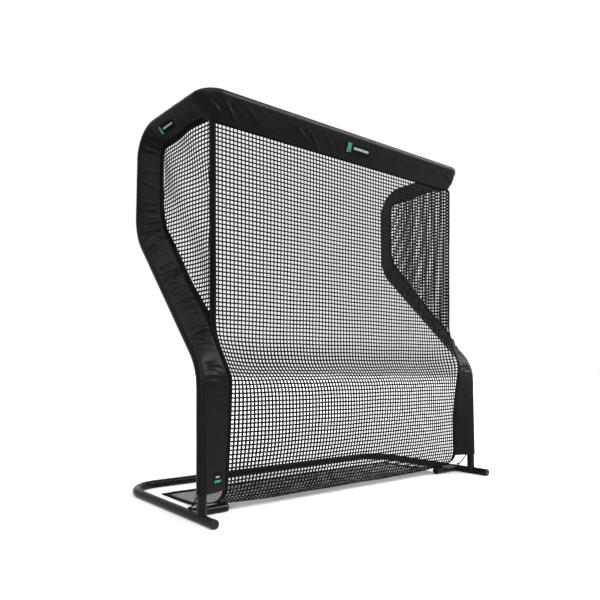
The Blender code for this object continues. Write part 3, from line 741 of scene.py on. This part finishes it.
def bar_rings(turn, right_from, left_from, lift_off=0.0):
    """The crossbar sleeve's surface from a distance on the +X half, over the middle, to the -X half."""
    halves = []
    for seed, creases, start in ((21, BAR_RIGHT_CREASES, right_from), (22, BAR_CREASES, left_from)):
        marks = stations(start, FRAME_PATH.length - 0.003)
        halves.append(sleeve_surface(marks, turn, creases, seed, bar_back(marks[:, 0]), lift_off,
                                     BAR_BANDS, BAR_CROWN))
    middle = (halves[0][-1] + sided(halves[1][-1], -1)) / 2
    middle[:, 0] = 0.0
    return np.concatenate([halves[0], middle[None], sided(halves[1], -1)[::-1]])


def crossbar_sleeve():
    rings = bar_rings(SECTION_TURNS, SEAM_AT + 0.0002, SEAM_AT + 0.0002)
    both = np.concatenate([FRAME_PATH.points, sided(FRAME_PATH.points, -1)])
    piece = sleeve_piece("crossbar_sleeve", rings, both)



# Tapes and webbings


def band(name, inner, outward, lift, wide, half, look):
    """A flat band with eased edges beside a line of points."""
    upper = ((0.0, 0.4), (0.03, 0.9), (0.12, 1.0), (0.18, 0.9), (0.24, 1.0), (0.50, 1.04),
             (0.76, 1.0), (0.82, 0.9), (0.88, 1.0), (0.97, 0.9), (1.0, 0.4))
    lower = tuple((across, -up) for across, up in reversed(upper))
    profile = np.array(lower[-1:] + upper + lower[:-1])
    wide, half = [np.broadcast_to(np.asarray(v, float), (len(inner),))[:, None, None] for v in (wide, half)]
    rings = (inner[:, None] + outward[:, None] * profile[None, :, :1] * wide
             + lift[:, None] * profile[None, :, 1:] * half)
    faces = grid_faces(len(rings), len(profile), True) + end_faces(len(rings), len(profile))
    return mesh_object(name, rings, faces, look)


def tape_line():
    """Inner edge, outward way and lift of the +X side's edge tape, from the top corner to the rear."""
    marks = np.arange(TAPE_END_AT + 0.028, HEM_AT, -0.008)
    centre, tangent, _, _, edge, _ = SLEEVE.at(marks)
    outward = unit(centre - edge)
    lift = square(np.cross(-tangent, outward), outward)
    floor = resample(FLOOR_EDGE, 0.008)
    floor_out = np.repeat([[1.0, 0.0, 0.0]], len(floor), 0)
    run = unit(np.gradient(floor, axis=0))
    inner = np.concatenate([edge, floor])
    outward = np.concatenate([outward, floor_out])
    floor_lift = np.cross(floor_out, run)
    lift = np.concatenate([lift, floor_lift * np.sign(np.sum(lift[-1] * floor_lift[0]))])
    inner = smooth_rows(inner, 2)
    inner[:, 2] = np.maximum(inner[:, 2], HEM_HALF + 0.0006)
    outward = unit(smooth_rows(outward, 4))
    wide = np.concatenate([bar_back(marks) + TAPE - SIDE_BACK, np.full(len(floor), TAPE)])
    half = TAPE_HALF + (HEM_HALF - TAPE_HALF) * np.clip((0.06 - inner[:, 2]) / 0.04, 0, 1)
    return inner, outward, square(smooth_rows(lift, 4), outward), wide, half


TAPE_INNER, TAPE_OUT, TAPE_LIFT, TAPE_WIDE, TAPE_DEEP = tape_line()


def stitch_row(points, out, pitch, long, radius):
    """Threads lying along a line: points and faces of small pointed spindles."""
    length = along(points)
    marks = np.arange(pitch / 2, length[-1] - pitch / 2, pitch)
    middle = read(marks, length, points)
    ahead = read(marks + 0.001, length, points)
    up = unit(read(marks, length, out))
    way = unit(ahead - middle)
    aside = np.cross(way, up)
    corners = np.stack([middle - way * long / 2, middle + aside * radius, middle + up * radius * 0.9,
                        middle - aside * radius, middle - up * radius * 0.9, middle + way * long / 2], 1)
    faces = []
    for k in range(len(marks)):
        s = 6 * k
        for a, b in ((1, 2), (2, 3), (3, 4), (4, 1)):
            faces.append((s, s + b, s + a))
            faces.append((s + 5, s + a, s + b))
    return corners.reshape(-1, 3), faces


def stitched(name, rows, pitch=0.007, long=0.0052, radius=0.0006):
    """One object of several rows of stitches. Each row is a pair of points and outward ways."""
    points = []
    faces = []
    for line, out in rows:
        made, new = stitch_row(line, out, pitch, long, radius)
        start = sum(len(p) for p in points)
        points.append(made)
        faces += [tuple(i + start for i in f) for f in new]
    return mesh_object(name, np.concatenate(points), faces, THREAD)


def seam_rows(inner, outward, lift, wide, half, side=1, faces=(1, -1)):
    """Lines of stitches near both edges of a band, on the given faces of it."""
    rows = []
    for part in (0.18, 0.82):
        for face in faces:
            line = inner + outward * wide * part + lift * face * half * 0.95
            rows.append((sided(line, side), sided(lift * face, side)))
    return rows


def edge_tape(side):
    name = side_name("net_edge_tape", side)
    piece = band(name, sided(TAPE_INNER, side), sided(TAPE_OUT, side), sided(TAPE_LIFT, side), TAPE_WIDE,
                 TAPE_DEEP, WEBBING)
    rows = seam_rows(TAPE_INNER, TAPE_OUT, TAPE_LIFT, TAPE_WIDE[:, None], TAPE_DEEP[:, None], side)
    seams = stitched(side_name("tape_stitching", side), rows)
    place(piece, "black_webbing", name)
    place(seams, "black_webbing")


def seam_webbing(side):
    name = side_name("seam_webbing", side)
    z = np.arange(SEAM_BOTTOM[1], 2.118, 0.012)
    x = np.interp(z, (SEAM_BOTTOM[1], SEAM_TOP[1]), (SEAM_BOTTOM[0], SEAM_TOP[0]))
    y = SEAM_Y + 0.0008 * np.sin(z * 9) + 0.0005 * np.sin(z * 23 + 1)
    facing = np.array((math.cos(SEAM_TURN), math.sin(SEAM_TURN), 0))
    inner = np.stack([x, y, z], 1) - facing * SEAM_WIDE / 2
    tail = np.array(((1.0455, UPRIGHT_Y + 0.044, 0.917), (1.0508, UPRIGHT_Y + 0.061, 0.957),
                     (1.0490, UPRIGHT_Y + 0.075, 1.000), (1.0455, UPRIGHT_Y + 0.088, 1.045)))
    inner = smooth_rows(resample(np.concatenate([tail, inner]), 0.010), 2)
    outward = np.repeat([[1.0, 0, 0]], len(inner), 0)
    wide = SEAM_WIDE * np.clip((inner[:, 2] - 0.905) / 0.12, 0.05, 1)
    run = unit(np.gradient(inner, axis=0))
    lift = square(np.repeat([[facing[1], -facing[0], 0]], len(inner), 0), run)
    outward = unit(np.cross(lift, run))
    outward = outward * np.sign(outward[:, :1])
    piece = band(name, sided(inner, side), sided(outward, side), sided(lift, side), wide, TAPE_HALF, WEBBING)
    rows = seam_rows(inner, outward, lift, wide[:, None], TAPE_HALF, side)
    seams = stitched(side_name("seam_stitching", side), rows)
    place(piece, "black_webbing", name)
    place(seams, "black_webbing")


def rear_hem():
    half = FLOOR_EDGE[-1][0] + 0.004
    x = np.linspace(-half, half, 180)
    z = HEM_HALF + 0.0008 + 0.0009 * (1 + np.sin(x * 11)) * (np.abs(x) < 0.98)
    y = PANEL_REAR_Y - TAPE + 0.0012 * np.sin(x * 5 + 1)
    inner = np.stack([x, y, z], 1)
    outward = np.repeat([[0, 1.0, 0]], len(x), 0)
    lift = np.repeat([[0, 0, 1.0]], len(x), 0)
    piece = band("rear_hem_tape", inner, outward, lift, TAPE - 0.0006, HEM_HALF, WEBBING)
    seams = stitched("hem_stitching", seam_rows(inner, outward, lift, TAPE, HEM_HALF, faces=(1,)))
    place(piece, "black_webbing", "rear_hem_tape")
    place(seams, "black_webbing")


# Nets


def below_fold(z):
    """0 above the net's fold, rising to 1 below it."""
    return np.clip((FOLD_Z - z) / FOLD_SPAN, 0, 1)


def on_floor(z):
    """0 above the slack panel on the floor, rising to 1 in it."""
    return np.clip((LYING_Z - z) / LYING_SPAN, 0, 1)


def cord_faces(lines, points_each, sides):
    """Faces of many cords of the same number of points, with closed ends."""
    one = np.array(grid_faces(points_each, sides, True))
    each = points_each * sides
    quads = (one[None] + (np.arange(lines) * each)[:, None, None]).reshape(-1, 4).tolist()
    ends = np.array(end_faces(points_each, sides))
    caps = (ends[None] + (np.arange(lines) * each)[:, None, None]).reshape(-1, sides).tolist()
    return quads + caps


def cord_points(lines, wide_way, out):
    """Flattened cord sections along many lines. lines, wide_way and out are (cords, points, 3). The cords
    lie flatter below the net's fold, and are drawn a little narrower in the slack panel on the floor."""
    turns = 2 * math.pi * (np.arange(CORD_SIDES) + 0.5) / CORD_SIDES
    height = lines[..., 2][:, :, None, None]
    flatter = 1 + 0.26 * below_fold(height)
    lying = on_floor(height)
    wide = wide_way[:, :, None] * np.cos(turns)[None, None, :, None] * CORD_HALF_WIDE
    wide = wide * flatter * (1 - 0.46 * lying)
    thick = out[:, :, None] * np.sin(turns)[None, None, :, None] * CORD_HALF_THICK * (1 - 0.4 * lying)
    return lines[:, :, None] + wide + thick


def net_object(name, sets):
    """One mesh of several sets of cords."""
    points = []
    faces = []
    for lines, wide_way, out in sets:
        made = cord_points(lines, wide_way, out)
        start = sum(p.size // 3 for p in points)
        new = cord_faces(lines.shape[0], lines.shape[1], CORD_SIDES)
        faces += [[i + start for i in f] for f in new]
        points.append(made)
    flat = np.concatenate([p.reshape(-1, 3) for p in points])
    return mesh_object(name, flat, faces, NETTING)


def knot_object(name, centres, wide_way, high_way, out):
    """A small flattened knot at every crossing."""
    half = KNOT_HALF * (1 - 0.35 * on_floor(centres[:, 2:]))
    corners = np.stack([
        centres + wide_way * half, centres + high_way * half, centres - wide_way * half,
        centres - high_way * half, centres + out * half * 0.2, centres - out * half * 0.2], 1)
    faces = []
    for k in range(len(centres)):
        s = 6 * k
        for a, b in ((0, 1), (1, 2), (2, 3), (3, 0)):
            faces.append((s + a, s + b, s + 4))
            faces.append((s + b, s + a, s + 5))
    return mesh_object(name, corners, faces, NETTING)


class NetSheet:
    """The main net's surface. u runs from -1 to 1 across it, f from 0 at the top to 1 at the rear."""

    def __init__(self):
        rows = [(SEAM_TOP[0] - TAPE / 2, SEAM_Y, 2.112), (SEAM_BOTTOM[0] - TAPE / 2, SEAM_Y, 1.095)]
        rows += [(x, y, z) for x, y, z in reversed(EDGE_POINTS[:6])]
        rows += [(x, y, z) for x, y, z in FLOOR_EDGE[:-1]]
        rows.append((FLOOR_EDGE[-1][0], PANEL_REAR_Y - TAPE, FLOOR_EDGE[-1][2]))
        self.edge = smooth_rows(resample(rows, 0.005), 3)
        belly = smooth_rows(resample([(0.0, UPRIGHT_Y + y, z) for y, z in BELLY], 0.005), 4)
        self.belly = belly
        self.edge_part = along(self.edge) / along(self.edge)[-1]
        self.belly_part = along(belly) / along(belly)[-1]
        self.length = along(belly)[-1]

    def at(self, u, f):
        """Points for arrays of u and f of one shape."""
        half = np.interp(f, self.edge_part, self.edge[:, 0]) + 0.006
        pull = np.minimum(np.abs(u), 1) ** EDGE_PULL
        y = (np.interp(f, self.edge_part, self.edge[:, 1]) * pull
             + np.interp(f, self.belly_part, self.belly[:, 1]) * (1 - pull))
        z = (np.interp(f, self.edge_part, self.edge[:, 2]) * pull
             + np.interp(f, self.belly_part, self.belly[:, 2]) * (1 - pull))
        free = (1 - np.abs(u) ** 4) * np.sin(math.pi * np.clip(f, 0, 1)) ** 0.5
        hanging = np.clip((z - 0.05) / 0.3, 0, 1)
        y = y + 0.004 * free * hanging * (np.sin(4.1 * u + 9 * f) + 0.6 * np.sin(9.3 * u - 21 * f + 1))
        z = np.maximum(z + 0.0016 * free * np.sin(13 * u + 31 * f), 0.0034)
        return np.stack([u * half, y, z], -1)

    def ways(self, u, f):
        """Unit vectors across, down and out of the surface."""
        step = 0.002
        across = unit(self.at(u + step, f) - self.at(u - step, f))
        down = unit(self.at(u, np.clip(f + step, 0, 1)) - self.at(u, np.clip(f - step, 0, 1)))
        return across, down, unit(np.cross(across, down))

    def cords(self, u, f, way, change):
        """Cord centres, wide ways and outward ways. A change widens the cords below the fold."""
        ways = self.ways(u, f)
        spot = self.at(u, f)
        return spot, ways[way] * (1 + change * below_fold(spot[..., 2:])), ways[2]


def main_net():
    sheet = NetSheet()
    columns = int(round(2 * NET_HALF / MESH_X)) + 1
    rows = int(round(sheet.length / MESH_Z)) + 1
    us = np.linspace(-1, 1, columns)
    fs = np.linspace(0, 1, rows)
    upper = fs < 0.36
    fine = np.concatenate([fs[upper][::3], fs[~upper]])
    u, f = np.meshgrid(us, fine, indexing="ij")
    uprights = sheet.cords(u, f, 0, 0.12)
    reach = np.sort(np.concatenate([np.linspace(-1, 1, 23), 1 - np.geomspace(0.005, 0.07, 6),
                                    np.geomspace(0.005, 0.07, 6) - 1]))
    f, u = np.meshgrid(fs[:-1], reach, indexing="ij")
    levels = sheet.cords(u, f, 1, -0.14)
    piece = net_object("main_net", [uprights, levels])
    place(piece, "black_netting", "main_net")
    also = []
    u, f = [a.ravel() for a in np.meshgrid(us[1:-1], fs[1:-1])]
    across, down, out = sheet.ways(u, f)
    knots = knot_object("main_net_knots", sheet.at(u, f), across, down, out)
    also = [place(knots, "black_netting")]


def outline_span(outline, axis, value):
    """Where a line of one coordinate enters and leaves a closed outline."""
    other = 1 - axis
    found = []
    for a, b in zip(outline, np.roll(outline, -1, 0)):
        if (a[axis] - value) * (b[axis] - value) < 0:
            part = (value - a[axis]) / (b[axis] - a[axis])
            found.append(a[other] + (b[other] - a[other]) * part)
    return (min(found), max(found)) if len(found) >= 2 else None


def side_net(side):
    outline = np.array([(y, z) for _, y, z in EDGE_POINTS[6:18]] + [(SEAM_Y, 2.114), (SEAM_Y, 1.075)])
    middle = outline.mean(0)
    outline = middle + (outline - middle) * 1.020
    slack = 1.5 if side < 0 else 0.45
    sets = []
    stops = 14
    for axis, pitch, low, high in ((1, MESH_Z, 1.10, 2.16), (0, MESH_X, SEAM_Y + 0.02, SEAM_Y + 0.56)):
        lines = []
        for value in np.arange(low, high, pitch):
            span = outline_span(outline, axis, value)
            if span is None or span[1] - span[0] < 0.012:
                continue
            run = np.linspace(*span, stops)
            fixed = np.full(stops, value)
            y, z = (run, fixed) if axis == 1 else (fixed, run)
            bulge = slack * (0.008 * np.sin(7 * y + 4 * z) + 0.004 * np.sin(19 * y - 13 * z))
            lines.append(np.stack([SIDE_NET_X + bulge, y, z], 1))
        lines = np.array(lines)
        wide_way = np.broadcast_to((0, 0, 1.1) if axis == 1 else (0, 1.1, 0), lines.shape)
        out = np.broadcast_to((1.0, 0, 0), lines.shape)
        sets.append((sided(lines, side), wide_way, out))
    piece = net_object(side_name("side_net", side), sets)
    place(piece, "black_netting", side_name("side_net", side))


# Floor frame


def weld(name, curve, side):
    """A rippled bead along a closed curve."""
    curve = resample(np.concatenate([curve, curve[:1]]), 0.0008)[:-1]
    tangents = unit(np.roll(curve, -1, 0) - np.roll(curve, 1, 0))
    ripple = 0.0024 + 0.00035 * np.abs(np.sin(along(curve) / 0.0044 * math.pi))
    rings = rings_along(curve, tangents, np.array((0.3, 0.2, 1.0)), ripple, 8)
    faces = grid_faces(len(curve), 8, True, True)
    piece = mesh_object(name, sided(rings, side), faces, STEEL)
    return place(piece, "black_powder_coat")


def upright_foot(side):
    """The tube that stands on the rail, shaped to it, with its weld."""
    name = side_name("upright_foot", side)
    top = FRAME_PATH.where(2, FOOT_TOP_Z)
    marks = np.concatenate([np.arange(0.012, top, 0.01), [top]])
    points, tangents = FRAME_PATH.at(marks)
    outer, inner = wall_rings(points, tangents, (1.0, 0, 0), np.full(len(marks), TUBE_R))
    for rings in (outer, inner):
        off = rings[..., 0] - RAIL_X
        saddle = TUBE_R + np.sqrt(np.maximum(TUBE_R ** 2 - off ** 2, 0)) - 0.0004
        rings[..., 2] = np.maximum(rings[..., 2], saddle + 0.0002 * np.arange(len(marks))[:, None])
    piece = closed_wall(name, outer, inner, side)
    place(piece, "black_powder_coat", name)
    turns = np.linspace(0, 2 * math.pi, 72, endpoint=False)
    x = FRAME_CORNERS[0][0] + TUBE_R * np.cos(turns)
    y = UPRIGHT_Y + TUBE_R * np.sin(turns)
    z = TUBE_R + np.sqrt(np.maximum(TUBE_R ** 2 - (x - RAIL_X) ** 2, 0.00002))
    weld(side_name("upright_weld", side), np.stack([x, y, z], 1), side)


def foot_stub(side):
    name = side_name("foot_stub", side)
    x = np.concatenate([[STUB_END_X + CAP_LIP, STUB_END_X + CAP_LIP + 0.0008],
                        np.arange(STUB_END_X + 0.01, RAIL_X - 0.001, 0.01)])
    centres = np.stack([x, np.full(len(x), STUB_Y), np.full(len(x), TUBE_R)], 1)
    tangents = np.repeat([[1.0, 0, 0]], len(x), 0)
    radii = np.full(len(x), TUBE_R)
    radii[0] -= 0.0005
    outer, inner = wall_rings(centres, tangents, (0, 0, 1.0), radii)
    for rings in (outer, inner):
        saddle = RAIL_X - np.sqrt(np.maximum(TUBE_R ** 2 - (rings[..., 2] - TUBE_R) ** 2, 0)) + 0.0004
        steps = 0.0002 * (len(x) - np.arange(len(x)))[:, None]
        rings[..., 0] = np.minimum(rings[..., 0], saddle - steps)
    piece = closed_wall(name, outer, inner, side)
    place(piece, "black_powder_coat", name)
    turns = np.linspace(0, 2 * math.pi, 72, endpoint=False)
    y = STUB_Y + TUBE_R * np.cos(turns)
    z = TUBE_R + TUBE_R * 0.985 * np.sin(turns)
    x = RAIL_X - np.sqrt(np.maximum(TUBE_R ** 2 - (z - TUBE_R) ** 2, 0.00002))
    z = np.maximum(z, 0.0032)
    weld(side_name("stub_weld", side), np.stack([x, y, z], 1), side)


CAP_PROFILE = (
    (-0.0160, 0.0200), (-0.0135, 0.0226), (0.0002, 0.0226), (0.0003, 0.0244), (0.0006, 0.0247),
    (0.0030, 0.0247), (0.0042, 0.0241), (0.0049, 0.0228), (0.0050, 0.0212), (0.0046, 0.0200),
    (0.0040, 0.0192), (0.0038, 0.0120), (0.0037, 0.0006),
)


def caps(side):
    tip = (RAIL_X * side, CAP_LIP - DEPTH / 2, TUBE_R)
    end = ((STUB_END_X + CAP_LIP) * side, STUB_Y, TUBE_R)
    for stem, base, way in (("rail_cap", tip, (0, -1, 0)), ("stub_cap", end, (-side, 0, 0))):
        name = side_name(stem, side)
        place(lathe(name, base, way, CAP_PROFILE, PLASTIC), "black_plastic", name)


def base_rail(side):
    rail_end = RAIL_PATH.where(0, REAR_JOINT_X, 0.9)
    name = side_name("base_rail", side)
    piece = tube_wall(name, RAIL_PATH, 0.0, rail_end, side, swaged=True)
    place(piece, "black_powder_coat", name)


def apply_modifiers(piece):
    """Bakes a piece's modifiers into its mesh."""
    evaluated = piece.evaluated_get(bpy.context.evaluated_depsgraph_get())
    mesh = bpy.data.meshes.new_from_object(evaluated)
    piece.modifiers.clear()
    piece.data = mesh


def rear_tube():
    """The rear cross tube, with a round hole for each button."""
    half = REAR_JOINT_X - 0.0033
    path = Path(np.array(((half, REAR_Y, TUBE_R), (-half, REAR_Y, TUBE_R))))
    piece = tube_wall("rear_cross_tube", path, 0.0, path.length, 1)
    for side in (1, -1):
        x = (half - BUTTON_FROM_END) * side
        bore = ((0.015, HOLE_R), (0.032, HOLE_R))
        cutter = lathe(f"hole{side}", (x, REAR_Y, TUBE_R), (0, 0, 1), bore, STEEL, 24)
        boolean = piece.modifiers.new("hole", "BOOLEAN")
        boolean.object = cutter
        boolean.solver = "EXACT"
        apply_modifiers(piece)
        bpy.data.objects.remove(cutter)
    place(piece, "black_powder_coat", "rear_cross_tube")


CLIP_PROFILE = (
    (0.0152, 0.0044), (0.0262, 0.0044), (0.0276, 0.0041), (0.0285, 0.0034), (0.0289, 0.0023),
    (0.0290, 0.0008),
)
CLIP_STRIP = ((-0.007, 0.0155), (0.020, 0.0148), (0.034, 0.0135), (0.0395, 0.0105), (0.0405, 0.0060),
              (0.0385, 0.0005), (0.0340, -0.0040), (0.020, -0.0090), (0.004, -0.0131))


def snap_clip(node):
    """A domed button riveted to a bent strip of spring steel."""
    joint = next(j for j in frame["joints"] if j["child"] == "clip_" + node[len("snap_clip_"):])
    out = -unit(np.array(joint["axis"], float))
    long_axis = clip_along(node, out)
    base = clip_base(node, out)
    across = np.cross(out, long_axis)
    strip = smooth_rows(resample(CLIP_STRIP, 0.0018), 1.2)
    run = unit(np.gradient(strip, axis=0))
    off = np.stack([-run[:, 1], run[:, 0]], 1) * 0.00045
    rings = []
    for (a, o), (da, do) in zip(strip, off):
        corners = []
        for wide, thick in ((-1, -1), (1, -1), (1, 1), (-1, 1)):
            corners.append(base + long_axis * (a + da * thick) + out * (o + do * thick)
                           + across * 0.004 * wide)
        rings.append(corners)
    rings = np.array(rings)
    faces = grid_faces(len(rings), 4, True) + end_faces(len(rings), 4)
    piece = mesh_object(node, rings, faces, SPRING, sharp=40)
    place(piece, "spring_steel", node, body=joint["child"])
    button = lathe(node.replace("snap_clip", "snap_button"), base, out, CLIP_PROFILE, SPRING, 24)
    place(button, "spring_steel", body=joint["child"])


def clip_along(node, out):
    """The way that a clip's strip runs: back along the tube it is in, read from its CAD box."""
    kind = node.split("_")[2]
    side = -1 if node.endswith("left") else 1
    if kind == "middle":
        return np.array((-1.0, 0, 0))
    if kind == "rear":
        return np.array((1.0 * side, 0, 0))
    centre = np.mean([tuple(c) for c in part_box(node)], 0) * np.array((side, 1, 1))
    near = np.argmin(np.linalg.norm(FRAME_PATH.points - centre, axis=1))
    back = -FRAME_PATH.tangents[near] * np.array((side, 1, 1))
    return square(back, out)


def clip_base(node, out):
    """The point on the tube's line under the button, from the CAD points that stand farthest out."""
    mesh = frame["nodes"][node].data
    points = np.empty(len(mesh.vertices) * 3)
    mesh.vertices.foreach_get("co", points)
    points = points.reshape(-1, 3)
    button = points[(points @ out) > (points @ out).max() - 0.0002].mean(0)
    return button - out * (TUBE_R + BUTTON_RISE)


# Ties and eyes


def smooth_line(points, step):
    """A smooth curve through points, sampled at a step."""
    p = np.asarray(points, float)
    p = np.concatenate([[2 * p[0] - p[1]], p, [2 * p[-1] - p[-2]]])
    made = []
    for i in range(1, len(p) - 2):
        t = np.linspace(0, 1, 12, endpoint=False)[:, None]
        a, b, c, d = p[i - 1], p[i], p[i + 1], p[i + 2]
        made.append(0.5 * (2 * b + (c - a) * t + (2 * a - 5 * b + 4 * c - d) * t ** 2
                           + (3 * b - a - 3 * c + d) * t ** 3))
    made.append(p[-2][None])
    return resample(np.concatenate(made), step)


def tie_cord(side):
    """An elastic cord from the hem to the eye on the rail, with a stopper knot."""
    line = smooth_line((
        (1.189, UPRIGHT_Y + 0.0322, HEM_Z - 0.0015), (1.190, UPRIGHT_Y + 0.040, 0.136),
        (1.191, UPRIGHT_Y + 0.055, 0.115), (1.193, UPRIGHT_Y + 0.077, 0.086),
        (RAIL_X, EYE_Y - 0.010, EYE_Z + 0.003), (RAIL_X, EYE_Y + 0.005, EYE_Z)), 0.0016)
    tangents = unit(np.gradient(line, axis=0))
    rings = rings_along(line, tangents, np.array((1.0, 0, 0)), np.full(len(line), CORD_R), 20)
    turns = 2 * math.pi * np.arange(20) / 20
    length = along(line)
    one, other = [np.cos(5 * turns[None] + way * length[:, None] * 900) for way in (1, -1)]
    braid = 1 + 0.045 * one * other
    rings = line[:, None] + (rings - line[:, None]) * braid[..., None]
    faces = grid_faces(len(line), 20, True) + end_faces(len(line), 20)
    name = side_name("tie_cord", side)
    cord = mesh_object(name, sided(rings, side), faces, ELASTIC)
    place(cord, "black_webbing", name)
    profile = [(0.0010, 0.0030), (0.0016, 0.0052), (0.0034, 0.0068), (0.0056, 0.0072), (0.0078, 0.0069),
               (0.0096, 0.0056), (0.0104, 0.0034), (0.0120, 0.0030), (0.0124, 0.0010)]
    base = (RAIL_X * side, EYE_Y + 0.0035, EYE_Z)
    knot = lathe(side_name("tie_knot", side), base, (0, 1, 0), profile, ELASTIC, 24)
    place(knot, "black_webbing")


def cord_eye(side):
    """A welded wire ring on top of the rail."""
    turns = np.linspace(0, 2 * math.pi, 40, endpoint=False)
    line = np.stack([RAIL_X + EYE_R * np.cos(turns), np.full(40, EYE_Y), EYE_Z + EYE_R * np.sin(turns)], 1)
    tangents = np.stack([-np.sin(turns), np.zeros(40), np.cos(turns)], 1)
    rings = rings_along(line, tangents, np.array((0, 1.0, 0)), np.full(40, EYE_WIRE), 12)
    name = side_name("cord_eye", side)
    piece = mesh_object(name, sided(rings, side), grid_faces(40, 12, True, True), STEEL)
    place(piece, "black_powder_coat", name)
    foot = lathe(side_name("eye_weld", side), (RAIL_X * side, EYE_Y, 2 * TUBE_R - 0.0012), (0, 0, 1),
                 ((0, 0.0046), (0.0012, 0.0040), (0.0022, 0.0028), (0.0027, 0.0008)), STEEL, 20)
    place(foot, "black_powder_coat")


# Labels


def label(name, rings, side, stripe, flip=False):
    """A woven label from rows of points on a sleeve: a dark ground, a green bar and a pale stripe. stripe
    gives the shares of the length where the two begin and end, and how narrow the pale one is."""
    rows, columns = rings.shape[:2]
    faces = grid_faces(rows, columns)
    which = []
    for k in range(len(faces)):
        row, column = divmod(k, columns - 1)
        part = (row + 0.5) / (rows - 1)
        part = 1 - part if flip else part
        bar = stripe[0] < part < stripe[1] and 1 <= column <= columns - 3
        line = stripe[2] < part < stripe[3] and stripe[4] <= column <= columns - 3 - stripe[4]
        which.append(1 if bar else 2 if line else 0)
    piece = mesh_object(name, sided(rings, side), faces, LABEL_GROUND, LABEL_GREEN, LABEL_PALE, which=which)
    facing_out(piece, sided(SLEEVE.at(SLEEVE.marks)[0] * 0.5 + SLEEVE.edge * 0.5, side))
    thicken(piece, 0.0009)
    place(piece, "woven_label", name)


LONG_STRIPE = (0.06, 0.20, 0.30, 0.93, 5)


def label_turns(low, high):
    return np.linspace(1 - low, 1 - high, 15)[None]


def side_label_rings(start, long, low, high):
    marks = np.linspace(start, start + long, 30)[:, None]
    return sleeve_surface(marks, label_turns(low, high), SIDE_CREASES, 5, SIDE_BACK, LABEL_LIFT,
                          HEM_BANDS)


def labels():
    right, left = [FRAME_PATH.where(0, x, SEAM_AT) for x in BAR_LABEL_ENDS]
    rings = bar_rings(label_turns(0.20, 0.66), right, left, LABEL_LIFT)
    label("label_crossbar", rings, 1, LONG_STRIPE, True)
    top = FRAME_PATH.where(1, UPRIGHT_Y + SIDE_LABEL_Y, TOP_AT)
    label("label_side", side_label_rings(top, SIDE_LABEL, 0.15, 0.62), -1, LONG_STRIPE)
    foot = FRAME_PATH.where(2, FOOT_LABEL_Z)
    label("label_foot", side_label_rings(foot, FOOT_LABEL, 0.38, 0.78), -1,
          (0.12, 0.32, 0.52, 0.66, 3))


# Floor and light


def stage():
    bpy.ops.mesh.primitive_plane_add(size=80, location=(0, 0, -0.0002))
    floor = bpy.context.object
    floor.name = "floor"
    n = Nodes("floor")
    floor.data.materials.append(n.done(
        Base_Color=n.patchy(0.8, 2, 0.585, 0.595), Roughness=1.0, Specular_IOR_Level=0.0))
    bpy.context.scene.world = studio_world()
    bpy.context.scene.view_settings.view_transform = "Standard"


def studio_world():
    """White all round the horizon and dimmer overhead."""
    world = bpy.data.worlds.new("world")
    world.use_nodes = True
    tree = world.node_tree
    place = tree.nodes.new("ShaderNodeTexCoord")
    parts = tree.nodes.new("ShaderNodeSeparateXYZ")
    ramp = tree.nodes.new("ShaderNodeValToRGB")
    tree.links.new(place.outputs["Generated"], parts.inputs["Vector"])
    tree.links.new(parts.outputs["Z"], ramp.inputs["Fac"])
    for element, height, grey in zip(ramp.color_ramp.elements, (0.58, 0.82), (1.0, 0.20)):
        element.position = height
        element.color = (grey, grey, grey, 1.0)
    background = tree.nodes["Background"]
    tree.links.new(ramp.outputs["Color"], background.inputs["Color"])
    background.inputs["Strength"].default_value = 1.0
    return world


def soft_light(name, towards, spread, strength):
    """A broad even light from one side of the studio."""
    data = bpy.data.lights.new(name, "SUN")
    data.energy = strength
    data.angle = math.radians(spread)
    light = bpy.data.objects.new(name, data)
    light.rotation_euler = (-Vector(towards)).to_track_quat("-Z", "Y").to_euler()
    bpy.context.scene.collection.objects.link(light)


def lights():
    soft_light("overhead", (0.0, -0.2, 1.0), 36, 1.5)
    soft_light("right_front", (0.67, -0.54, 0.62), 26, 5.2)
    soft_light("left_front", (-0.75, -1.0, 0.62), 40, 3.6)
    soft_light("left_above", (-0.50, 0.0, 0.86), 20, 1.35)


# Everything


def dress_hidden_tubes():
    """The powder coat on the CAD tubes inside the sleeves."""
    for name, node in frame["nodes"].items():
        if name.startswith(("upright_", "slope_post", "top_corner", "crossbar_")) and "sleeve" not in name:
            for slot in node.material_slots:
                slot.material = STEEL


def main():
    dress_hidden_tubes()
    for side in (1, -1):
        base_rail(side)
        upright_foot(side)
        foot_stub(side)
        caps(side)
        cord_eye(side)
        tie_cord(side)
        side_sleeve(side)
        edge_tape(side)
        seam_webbing(side)
        side_net(side)
    rear_tube()
    crossbar_sleeve()
    rear_hem()
    main_net()
    labels()
    for name in list(frame["nodes"]):
        if name.startswith("snap_clip"):
            snap_clip(name)
    stage()
    lights()


main()
